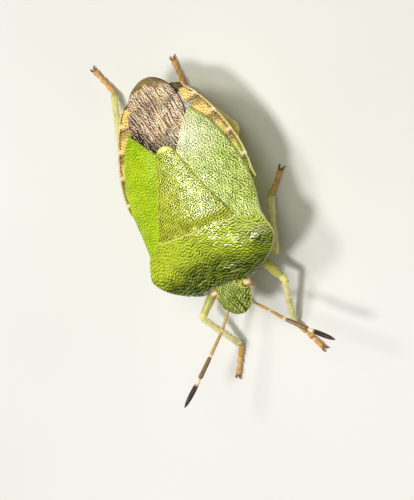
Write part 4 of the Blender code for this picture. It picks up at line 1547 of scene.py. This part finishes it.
def ocellus_ring(x, y):
    """1 on the pale ring round each simple eye."""
    away = np.hypot(np.abs(x) - OCELLUS_PLACE[0], y - OCELLUS_PLACE[1])
    return near(away, 0.075, 0.045)


# %% Head capsule
GROOVE_DEPTH = 0.065
CHEEK_RIM_HEIGHT = 0.05
CHEEK_HOLLOW = 0.03
ORBIT_HEIGHT = 0.035
LOBE_HEIGHT = 0.035
FURROW_HEIGHT = 0.011


def head_capsule():
    """The head from its tip to its neck, with its grooves, rims and furrows."""
    y = blend(HEAD[0][0], HEAD[-1][0], np.linspace(0, 1, 190) ** 1.4)[:, None]
    half, crown, edge, throat = along(HEAD, y)
    turn = np.linspace(0, 2 * math.pi, 320, endpoint=False)[None, :]
    x, share, rise = half * np.cos(turn), np.abs(np.cos(turn)), np.sin(turn)
    upper = rise >= 0
    roof = edge + (crown - edge) * (1 - share**2.4)
    z = np.where(upper, roof, edge - (edge - throat) * (1 - share**2))
    lobe_x = x - TYLUS_ASIDE * before(y, -3.5, 1.0)
    groove, orbit = tylus_line(lobe_x, y) * upper, eye_orbit(x, y) * upper
    ahead = before(y, -3.45, 0.4)
    rim = near(share, 0.97, 0.07) * ahead * upper
    hollow = near(share, 0.80, 0.16) * ahead * upper
    maze = furrows(x, y, 0.112, 707, 15, 140) * upper * ease(rise / 0.2) * (1 - groove)
    z = z - GROOVE_DEPTH * groove + CHEEK_RIM_HEIGHT * rim - CHEEK_HOLLOW * hollow + ORBIT_HEIGHT * orbit
    z = z + FURROW_HEIGHT * np.tanh(FURROW_SHARPNESS * maze) * after(y, HEAD[0][0], 0.12)
    z = z + LOBE_HEIGHT * near(lobe_x, 0.0, 0.19) * before(y, -3.3, 0.5) * upper
    notch = 0.085 * near(np.abs(lobe_x), 0.18, 0.07) - 0.02 * near(lobe_x, 0.0, 0.15)
    yy = y + 0 * x + before(y, -4.20, 0.35) * notch
    cheek_edge = after(share, 0.93, 0.06) * ahead * (rise > -0.3)
    beside_groove = 0.3 * tylus_line(lobe_x, y, 0.07) * upper
    pale = np.maximum.reduce([cheek_edge, orbit, beside_groove, 0.8 * (ocellus_ring(x, y) * upper)])
    # Darker in the grooves and cheek hollows, and painted shadow at the rear, where the head goes under
    # the pronotum's edge
    dark = np.maximum.reduce([0.8 * groove, 0.7 * after(y, -2.98, 0.15) * upper, 0.25 * hollow])
    masks = {"pit": after(-maze, 0.15, 0.9), "ridge": after(maze, 0.20, 0.9)}
    masks.update({"margin": 0.9 * pale, "shade": dark * (1 - orbit)})
    return patch(np.stack([x + HEAD_ASIDE, yy, z], -1), masks, True)


# %% The whole head
KNOB_ROUTE = [(0.30, -3.30, 2.38), (0.40, -3.94, 2.32)]
KNOB_GIRTH = [(0, 0.17), (0.6, 0.17), (1, 0.10)]
BEAK_RIDGE_ROUTE = [(0.19, -4.30, 2.42), (0.20, -3.80, 2.02), (0.20, -3.30, 1.94)]
BEAK_RIDGE_GIRTH = [(0, 0.05), (0.3, 0.11), (0.8, 0.11), (1, 0.07)]


def make_head():
    """The capsule with its feeler knobs and beak ridges."""
    patches = [head_capsule()]
    for side in ("left", "right"):
        knob = [mirrored(point, side) for point in KNOB_ROUTE]
        ridge = [mirrored(point, side) for point in BEAK_RIDGE_ROUTE]
        patches.append(tube(knob, KNOB_GIRTH, 18, 16, masks={"shade": 0.5}))
        patches.append(tube(ridge, BEAK_RIDGE_GIRTH, 14, 24, masks={"shade": 0.3}))
    piece("head_capsule", patches, finishes["head"], ["head"])


make_head()

# %% [markdown]
# ## Eyes
# A compound eye is a dome of hundreds of lenses. It is modelled as an egg, turned to the
# head's slanting rear corner, whose surface swells slightly at every lens. It is pinkish
# brown under a wet looking coat, with a painted highlight in cream on its upper side and
# painted shade in darker brown on its lower side. Two ocelli, simple glassy eyes, sit on
# top of the head.

# %% Eye finish


def eye_finish():
    """Brown lenses, with a painted highlight in cream where they face up and painted shade where they face
    down.
    """
    material, tree, shader = start_material("eye_lenses", 0.32, 0.5)
    # Cream is a painted highlight, the darker brown a painted shade
    colour = tree.mix(tree.mask("high"), srgb(200, 146, 84), srgb(248, 228, 184))
    colour = tree.mix(tree.mask("low"), colour, srgb(140, 82, 38))
    colour = tree.mix(tree.times(tree.mask("lens"), 0.30), colour, srgb(146, 92, 48))
    tree.put(shader.inputs["Base Color"], colour)
    add_grain(tree, shader, 16000, 0.1)
    return material


eye_material = eye_finish()

# %% Eyes
EYE_RADII = (0.285, 0.18, 0.22)
EYE_TURN = -33
# The way the painted highlight faces; the opposite side gets painted shade
EYE_PAINTED_HIGHLIGHT_WAY = (-0.40, 0.78, 0.48)
LENS_ROW = 0.12
LENS_SWELL = 0.016


def make_eye(side):
    """One eye: rows of lenses, each row with as many as fit round it."""
    unit, rise, turn = unit_ball(100, 140)
    row = rise / LENS_ROW
    nearest = np.round(row)
    around = np.maximum(np.round(2 * math.pi * np.cos(nearest * LENS_ROW) / (1.15 * LENS_ROW)), 1)
    spot = (turn / (2 * math.pi) * around + 0.5 * (nearest % 2)) % 1 - 0.5
    bump = np.cos(math.pi * spot) * np.cos(math.pi * (row - nearest))
    slant = math.radians(EYE_TURN if side == "left" else -EYE_TURN)
    spin = np.array(Matrix.Rotation(slant, 3, "Z"))
    up = (unit @ spin.T) @ np.array(mirrored(EYE_PAINTED_HIGHLIGHT_WAY, side))
    shape = unit * EYE_RADII * (1 + LENS_SWELL * bump[..., None])
    points = np.asarray(mirrored(EYE_PLACE, side)) + shape @ spin.T
    # high is the painted highlight, low the painted shade
    masks = {"lens": 1 - bump, "high": after(up, 0.05, 0.45), "low": after(-up, 0.1, 0.6)}
    piece(f"eye_{side}_lenses", [patch(points, masks, True)], eye_material, [f"eye_{side}"])


for side in ("left", "right"):
    make_eye(side)

# %% Ocelli
OCELLUS_RADII = (0.045, 0.045, 0.035)
ocellus_spots = [mirrored(OCELLUS_PLACE, side) for side in ("left", "right")]
ocelli = [ball(spot, OCELLUS_RADII, masks={"low": 0.6}) for spot in ocellus_spots]
piece("ocelli", ocelli, eye_material)

# %% [markdown]
# ## Leg and feeler finishes
# Legs are green near the body, yellow at the knee and along the shin, with orange feet.
# Feelers change colour from joint to joint: tan, dark red brown and nearly black, each
# pale at its root. One recipe does all of these. The masks tint and dark tell where its
# second and third colour lie; a third mask, green, is for the feelers' first joints.

# %% Limb finish
LIMB_ROUGHNESS = 0.42
LIMB_COAT = 0.25
FEELER_GREEN = (150, 152, 84)
# Base, mottle, tint and dark of each kind of limb
LIMB_COLOURS = {
    "leg": [(178, 178, 78), (150, 152, 52), (232, 222, 136), (108, 96, 30)],
    "foot": [(222, 172, 90), (200, 142, 62), (246, 224, 164), (96, 54, 24)],
    "feeler": [(216, 174, 98), (196, 148, 74), (248, 234, 200), (44, 22, 18)],
    "beak": [(176, 176, 80), (150, 146, 60), (206, 190, 110), (46, 34, 20)],
}


def limb_finish(part, base, mottle, tint, dark):
    """Mottled cuticle of a limb, with more colours where the masks tint and dark are 1."""
    material, tree, shader = start_material(f"{part}_cuticle", LIMB_ROUGHNESS, LIMB_COAT)
    colour = tree.mix(tree.span(tree.noise(6000, 3), 0.38, 0.66), srgb(*base), srgb(*mottle))
    colour = tree.mix(tree.mask("tint"), colour, srgb(*tint))
    colour = tree.mix(tree.mask("dark"), colour, srgb(*dark))
    colour = tree.mix(tree.mask("green"), colour, srgb(*FEELER_GREEN))
    tree.put(shader.inputs["Base Color"], colour)
    add_grain(tree, shader, 20000, 0.3)
    return material


limb_finishes = {part: limb_finish(part, *colours) for part, colours in LIMB_COLOURS.items()}
print("limb finishes:", sorted(limb_finishes))

# %% [markdown]
# ## Bristles
# Short pale hairs stand on the legs and feelers. Each is a slim three-sided spike that
# leans towards the limb's end. All roots are picked at random on the limb's own rings,
# and each spike's patch in the bake map lies at its root's place along and round its limb.

# %% Growing bristles
bristle_roots, bristle_ways, bristle_sizes, bristle_spots = [], [], [], []
BRISTLE_LIMBS = 60
ROOT_DEPTH = 0.01


def grow_bristles(limb, count, length, girth, start, end, lean, seed):
    """Pick roots and directions of bristles on a limb's patch.

    They grow from start to end, as shares of its length; a lean of 1 points them half
    outwards and half along the limb. The bake map has room for BRISTLE_LIMBS limbs.
    """
    dice = np.random.default_rng(seed)
    points = limb["points"]
    rows, columns = points.shape[:2]
    i = (dice.uniform(start, end, count) * (rows - 2)).astype(int)
    j = dice.integers(0, columns, count)
    middle = points.mean(1)
    out = points[i, j] - middle[i]
    out /= np.linalg.norm(out, axis=1, keepdims=True)
    ahead = middle[i + 1] - middle[i]
    ahead /= np.linalg.norm(ahead, axis=1, keepdims=True)
    way = out + ahead * lean * dice.uniform(0.7, 1.3, (count, 1))
    way /= np.linalg.norm(way, axis=1, keepdims=True)
    limb_number = len(bristle_roots)
    bristle_roots.append(points[i, j] - ROOT_DEPTH * out)
    bristle_ways.append(way * length * dice.uniform(0.7, 1.2, (count, 1)))
    bristle_sizes.append(np.full(count, girth))
    up = (limb_number + 0.1 + 0.8 * i / rows) / BRISTLE_LIMBS
    bristle_spots.append(np.stack([0.02 + 0.96 * j / columns, up], 1))


# %% [markdown]
# ## Legs
# Each leg has a short coxa set in the body, a stout femur, a slim three-edged tibia and
# a tarsus of three small joints with two claws. The feet stand on the floor.

# %% Places of the legs' joints
# Coxa, knee and ankle of each leg, and the spot on the floor where its foot ends
LEGS = {
    "fore_left": [(0.85, -2.00, 0.95), (2.26, -3.81, 1.65), (1.27, -6.11, 0.40), (2.17, -7.84)],
    "fore_right": [(-0.90, -2.15, 0.95), (-2.90, -4.26, 1.65), (-2.03, -6.30, 0.40), (-2.93, -7.79)],
    "mid_left": [(1.00, -0.30, 0.88), (2.34, -2.32, 1.65), (2.65, 0.38, 0.42), (3.55, 1.40)],
    "mid_right": [(-1.00, -0.30, 0.88), (-3.15, -1.45, 1.75), (-4.20, 0.95, 0.42), (-4.55, 2.20)],
    "hind_left": [(1.25, 1.35, 0.84), (2.70, 4.32, 1.42), (0.33, 7.08, 0.42), (0.21, 8.57)],
    "hind_right": [(-1.25, 1.35, 0.84), (-3.90, 4.45, 1.70), (-3.54, 8.11, 0.42), (-4.25, 9.60)],
}

# %% Girths along the legs
COXA_GIRTH = [(0, 0.26), (0.4, 0.30), (0.8, 0.22), (1, 0.12)]
TROCHANTER_GIRTH = [(0, 0.10), (0.3, 0.17), (0.8, 0.17), (1, 0.12)]
FEMUR_GIRTH = [
    (0, 0.12),
    (0.06, 0.17),
    (0.30, 0.235),
    (0.60, 0.240),
    (0.84, 0.195),
    (0.93, 0.200),
    (0.98, 0.175),
    (1, 0.10),
]
TIBIA_GIRTH = [
    (0, 0.09),
    (0.02, 0.150),
    (0.05, 0.170),
    (0.10, 0.148),
    (0.50, 0.146),
    (0.88, 0.158),
    (0.97, 0.165),
    (1, 0.10),
]
KNEE_BALL = (0.165, 0.165, 0.155)
ANKLE_BALL = (0.125, 0.125, 0.12)
TOE_GIRTH = [(0, 0.06), (0.12, 0.110), (0.5, 0.130), (0.85, 0.142), (1, 0.08)]
CLAW_GIRTH = [(0, 0.055), (0.5, 0.042), (1, 0.008)]

# %% Making a foot
TOE_JOINTS = [0.42, 0.64]
FOOT_RISE = 0.15
PAD_RADII = (0.06, 0.06, 0.04)


def make_foot(name, ankle, tip):
    """A tarsus of three joints, two claws and two pale pads under them."""
    flat = np.array((1, 1, 0))
    joints = [ankle - (0, 0, 0.10)]
    joints += [blend(ankle, tip, share) * flat + (0, 0, FOOT_RISE + 0.02) for share in TOE_JOINTS]
    joints.append(tip)
    patches = []
    for index, (first, second) in enumerate(zip(joints, joints[1:])):
        toe = tube([first, second], TOE_GIRTH, 16, 18)
        share = toe["masks"]["along"]
        toe["masks"].update({"dark": 0.35 * after(share, 0.76, 0.2), "tint": 0.5 * within(share, 0.3)})
        grow_bristles(toe, 60, 0.10, 0.006, 0.1, 0.9, 1.4, 900 + index)
        patches.append(toe)
    way = (joints[3] - joints[2]) * flat
    way /= np.linalg.norm(way)
    beside = np.array((-way[1], way[0], 0))
    for sign in (1, -1):
        root = tip - way * 0.06 + beside * sign * 0.04 + (0, 0, 0.02)
        bend = tip + way * 0.13 + beside * sign * 0.11 + (0, 0, 0.02)
        end = (tip + way * 0.25 + beside * sign * 0.15) * flat + (0, 0, 0.012)
        patches.append(tube([root, bend, end], CLAW_GIRTH, 10, 18, masks={"dark": 0.85}))
        pad = (tip + way * 0.09 + beside * sign * 0.06) * flat + (0, 0, 0.09)
        patches.append(ball(pad, PAD_RADII, 10, 12, {"tint": 1.0}))
    piece(f"leg_{name}_foot", patches, limb_finishes["foot"], [f"leg_{name}_tarsus"])


# %% Making a leg


def make_femur(coxa, knee):
    """The stout femur: darker near the body, yellow at the knee."""
    middle = blend(coxa, knee, 0.55) + (0, 0, 0.04)
    femur = tube([blend(coxa, knee, 0.10), middle, knee], FEMUR_GIRTH, 24, 80)
    share = femur["masks"]["along"]
    femur["masks"]["tint"] = np.maximum(after(share, 0.86, 0.08), 0.35 * after(share, 0.3, 0.5))
    femur["masks"]["dark"] = 0.35 * within(share, 0.5)
    return femur


def make_tibia(knee, ankle):
    """The slim, three-edged tibia, darker at its ends."""
    middle = blend(knee, ankle, 0.5) + (0, 0, 0.03)
    tibia = tube([knee, middle, ankle], TIBIA_GIRTH, 21, 90, angular=0.07)
    share = tibia["masks"]["along"]
    tibia["masks"]["tint"] = 0.85 + 0 * share
    tibia["masks"]["dark"] = 0.40 * after(share, 0.93, 0.04) + 0.15 * near(share, 0.10, 0.04)
    return tibia


def make_leg(name, points, seed):
    """Coxa, trochanter, femur and tibia of a leg as one limb, and its foot."""
    coxa, knee, ankle = [np.array(point, float) for point in points[:3]]
    in_body = np.array((coxa[0] * 0.86, coxa[1], coxa[2] + 0.40))
    coxa_line = [in_body, coxa + (0, 0, 0.12), blend(coxa, knee, 0.06)]
    trochanter_line = [blend(coxa, knee, 0.02), blend(coxa, knee, 0.14)]
    femur, tibia = make_femur(coxa, knee), make_tibia(knee, ankle)
    grow_bristles(femur, 120, 0.09, 0.012, 0.2, 0.95, 1.6, seed)
    grow_bristles(tibia, 300, 0.15, 0.016, 0.06, 0.97, 0.9, seed + 1)
    patches = [
        tube(coxa_line, COXA_GIRTH, 20, 20, masks={"tint": 0.2}),
        tube(trochanter_line, TROCHANTER_GIRTH, 18, 12, masks={"tint": 0.5}),
        ball(knee, KNEE_BALL, 18, 24, {"tint": 1.0}),
        ball(ankle, ANKLE_BALL, 16, 20, {"tint": 0.4, "dark": 0.3}),
        femur,
        tibia,
    ]
    nodes = [f"leg_{name}_femur", f"leg_{name}_tibia"]
    piece(f"leg_{name}_limb", patches, limb_finishes["leg"], nodes)
    make_foot(name, ankle, np.array((*points[3], FOOT_RISE)))


for index, (name, points) in enumerate(LEGS.items()):
    make_leg(name, points, 800 + 10 * index)

# %% [markdown]
# ## Feelers and beak
# A feeler has five joints. The first is short, green at its root and pale beyond, a pale
# that is in part a painted highlight, and mostly hidden by the head. The second and third
# are thin and tan, the fourth is thicker and dark red brown, the fifth is pale at its root
# and black beyond. The beak is a row of four straight joints that lies folded back under
# the body.

# %% Sizes and directions of the feelers' joints
FEELER_ROOT = (0.58, -3.95, 2.10)
FEELER_SOCKET = (0.40, -4.00, 2.32)
FEELER_LENGTHS = [0.48, 1.22, 1.41, 1.27, 1.65]
# Turn off straight ahead towards the left, and rise, of each joint in degrees
FEELER_HEADINGS = {
    "left": [(-12, 4), (59, 30), (61, 37), (47, -5), (56, 13)],
    "right": [(-59, 18), (-35, 17), (-42, 21), (-43, 21), (-45, 23)],
}
FEELER_GIRTHS = [0.085, 0.080, 0.086, 0.116, 0.124]
FEELER_DARK = [0.0, 0.06, 0.10, 0.66, 0.97]
JOINT_GIRTH = [(0, 0.5), (0.04, 0.78), (0.2, 0.92), (0.7, 1.0), (0.95, 0.98), (1, 0.4)]
LAST_GIRTH = [(0, 0.4), (0.05, 0.7), (0.3, 1.0), (0.65, 1.0), (0.9, 0.62), (1, 0.12)]


def heading(turn, rise):
    """A direction from a turn off straight ahead towards the left, and a rise."""
    turn, rise = math.radians(turn), math.radians(rise)
    return np.array((math.sin(turn) * math.cos(rise), -math.cos(turn) * math.cos(rise), math.sin(rise)))


# %% Feelers


def feeler_joint(index, start, end, seed):
    """One joint of a feeler, with its pale ends, its dark part and its hairs."""
    last = index == len(FEELER_LENGTHS) - 1
    girth = [(share, size * FEELER_GIRTHS[index]) for share, size in (LAST_GIRTH if last else JOINT_GIRTH)]
    joint = tube([start, end], girth, 16, 50)
    share = joint["masks"]["along"]
    if index == 0:
        # The first joint's long pale part is in part a painted highlight
        pale = after(share, 0.25, 0.2)
    elif last:
        pale = within(share - 0.16, 0.14)
    else:
        pale = within(share, 0.08) + (after(share, 0.93, 0.05) if index < 3 else 0)
    tint = np.clip(pale, 0, 1)
    green = 0.9 * (index == 0) * (1 - tint)
    joint["masks"].update({"tint": tint, "dark": FEELER_DARK[index] * (1 - tint), "green": green})
    grow_bristles(joint, 60 + 60 * (index > 2), 0.055, 0.005, 0.05, 0.97, 1.2, seed)
    return joint


def make_feeler(side, seed):
    """The five joints of a feeler, each from the end of the one before."""
    spot = np.array(mirrored(FEELER_ROOT, side))
    joints = []
    for index, (length, angles) in enumerate(zip(FEELER_LENGTHS, FEELER_HEADINGS[side])):
        end = spot + heading(*angles) * length
        start = np.array(mirrored(FEELER_SOCKET, side)) if index == 0 else spot
        joints.append(feeler_joint(index, start, end, seed + index))
        spot = end
    piece(f"feeler_{side}_joints", joints, limb_finishes["feeler"], [f"feeler_{side}"])


make_feeler("left", 860)
make_feeler("right", 870)

# %% Beak
BEAK_JOINTS = [(0, -4.28, 2.02), (0, -3.75, 1.50), (0, -2.80, 1.14), (0, -1.40, 0.90), (0, 0.55, 0.82)]
BEAK_GIRTHS = [0.17, 0.14, 0.115, 0.095]


def make_beak():
    """The beak's joints, the last with a dark tip."""
    joints = []
    for index, size in enumerate(BEAK_GIRTHS):
        girth = [(0, size * 0.7), (0.06, size), (0.5, size * 0.92), (0.95, size), (1, size * 0.5)]
        joint = tube(BEAK_JOINTS[index : index + 2], girth, 16, 30, masks={"tint": 0.4})
        joint["masks"]["dark"] = after(joint["masks"]["along"], 0.7, 0.3) * (index == 3)
        joints.append(joint)
    piece("beak_joints", joints, limb_finishes["beak"], ["beak"])


make_beak()

# %% The bristles' mesh
BRISTLE_SIDES = 3
BRISTLE_PATCH = 0.0015


def bristle_finish():
    """Pale, dull hair."""
    material, tree, shader = start_material("bristle_hair", 0.5)
    colour = tree.mix(tree.noise(3000), srgb(236, 224, 190), srgb(250, 244, 226))
    tree.put(shader.inputs["Base Color"], colour)
    return material


def make_bristles():
    """One coat piece with every bristle as a three-sided spike."""
    roots, ways = np.concatenate(bristle_roots), np.concatenate(bristle_ways)
    sizes, spots = np.concatenate(bristle_sizes), np.concatenate(bristle_spots)
    side = np.cross(ways, (0.3, 0.5, 0.8))
    side /= np.linalg.norm(side, axis=1, keepdims=True)
    other = np.cross(ways, side)
    other /= np.linalg.norm(other, axis=1, keepdims=True)
    turns = [2 * math.pi * k / BRISTLE_SIDES for k in range(BRISTLE_SIDES)]
    rings = [roots + sizes[:, None] * (math.cos(t) * side + math.sin(t) * other) for t in turns]
    points = np.stack([*rings, roots + ways], 1).reshape(-1, 3)
    first = np.arange(len(roots))[:, None] * (BRISTLE_SIDES + 1)
    corners = np.array([(math.cos(t), math.sin(t)) for t in turns]) * BRISTLE_PATCH
    faces, uv = [], []
    for k in range(BRISTLE_SIDES):
        following = (k + 1) % BRISTLE_SIDES
        faces.append(first + np.array((k, following, BRISTLE_SIDES)))
        uv.append(spots[:, None] + np.stack([corners[k], corners[following], (0, 0)]))
    faces, uv = np.concatenate(faces), np.concatenate(uv)
    mesh = bpy.data.meshes.new("bristles")
    mesh.from_pydata(to_world(points).tolist(), [], faces.tolist())
    mesh.uv_layers.new(name="OFBake").data.foreach_set("uv", uv.astype(np.float32).ravel())
    mesh.materials.append(bristle_finish())
    register(bpy.data.objects.new("limb_bristles", mesh), [])


print("limbs with bristles:", len(bristle_roots))
make_bristles()

# %% [markdown]
# ## Floor and light
# The bug stands on a plain pale floor. Two soft lights high over its right side do the
# work of the sun, and the one nearly straight above gives the white gleam on the
# pronotum and the scutellum. Two broad lights do the sky's work, and a weak one opens the
# shadows on the left. A faint even light comes from all around.

# %% Floor
FLOOR_REACH = 0.6
FLOOR_TONES = [(222, 220, 212), (230, 228, 221)]


def make_floor():
    """A flat, pale floor that isn't part of the bug."""
    material, tree, shader = start_material("studio_floor", 0.75)
    first, second = (srgb(*tone) for tone in FLOOR_TONES)
    tone = tree.mix(tree.span(tree.noise(30), 0.3, 0.7), first, second)
    tree.put(shader.inputs["Base Color"], tone)
    mesh = bpy.data.meshes.new("floor")
    corners = [(-1, -1), (1, -1), (1, 1), (-1, 1)]
    points = [(x * FLOOR_REACH, y * FLOOR_REACH, 0) for x, y in corners]
    mesh.from_pydata(points, [], [(0, 1, 2, 3)])
    mesh.materials.append(material)
    floor = bpy.data.objects.new("floor", mesh)
    bpy.context.scene.collection.objects.link(floor)
    print("floor:", 2 * FLOOR_REACH, "m wide")


make_floor()

# %% Light
LIT_PLACE = (0, 1.5, 3)
# Direction, distance, size, power and colour of each light
LIGHTS = {
    "sun": ((-0.32, 0.42, 0.85), 0.30, 0.06, 0.29, (1.0, 0.99, 0.96)),
    "gleam": ((-0.20, -0.05, 1.0), 0.30, 0.05, 0.51, (0.96, 0.98, 1.0)),
    "sky front": ((0.30, 0.02, 0.95), 0.40, 0.15, 0.20, (1.0, 1.0, 1.0)),
    "sky rear": ((0.14, 0.38, 0.92), 0.40, 0.15, 0.30, (1.0, 0.99, 0.97)),
    "fill": ((0.9, -0.5, 0.9), 0.40, 0.30, 0.10, (1.0, 0.98, 0.94)),
}


def area_light(name, direction, away, size, power, colour):
    """A square soft light that looks at the bug's middle from a direction."""
    lamp = bpy.data.lights.new(name, "AREA")
    lamp.size = size
    lamp.energy = power
    lamp.color = colour
    item = bpy.data.objects.new(name, lamp)
    bpy.context.scene.collection.objects.link(item)
    way = Vector(direction).normalized()
    item.location = Vector(to_world(LIT_PLACE)) + way * away
    item.rotation_euler = way.to_track_quat("Z", "Y").to_euler()


for name, values in LIGHTS.items():
    area_light(name, *values)
print("lights:", ", ".join(LIGHTS))

# %% Even light from all around
SKY_GREY = 0.92
SKY_STRENGTH = 0.09

world = bpy.data.worlds.new("studio")
world.use_nodes = True
sky = world.node_tree.nodes["Background"].inputs
sky["Color"].default_value = (SKY_GREY, SKY_GREY, SKY_GREY, 1)
sky["Strength"].default_value = SKY_STRENGTH
bpy.context.scene.world = world
print("even light of strength", SKY_STRENGTH)
bpy.context.scene.view_settings.view_transform = "Standard"
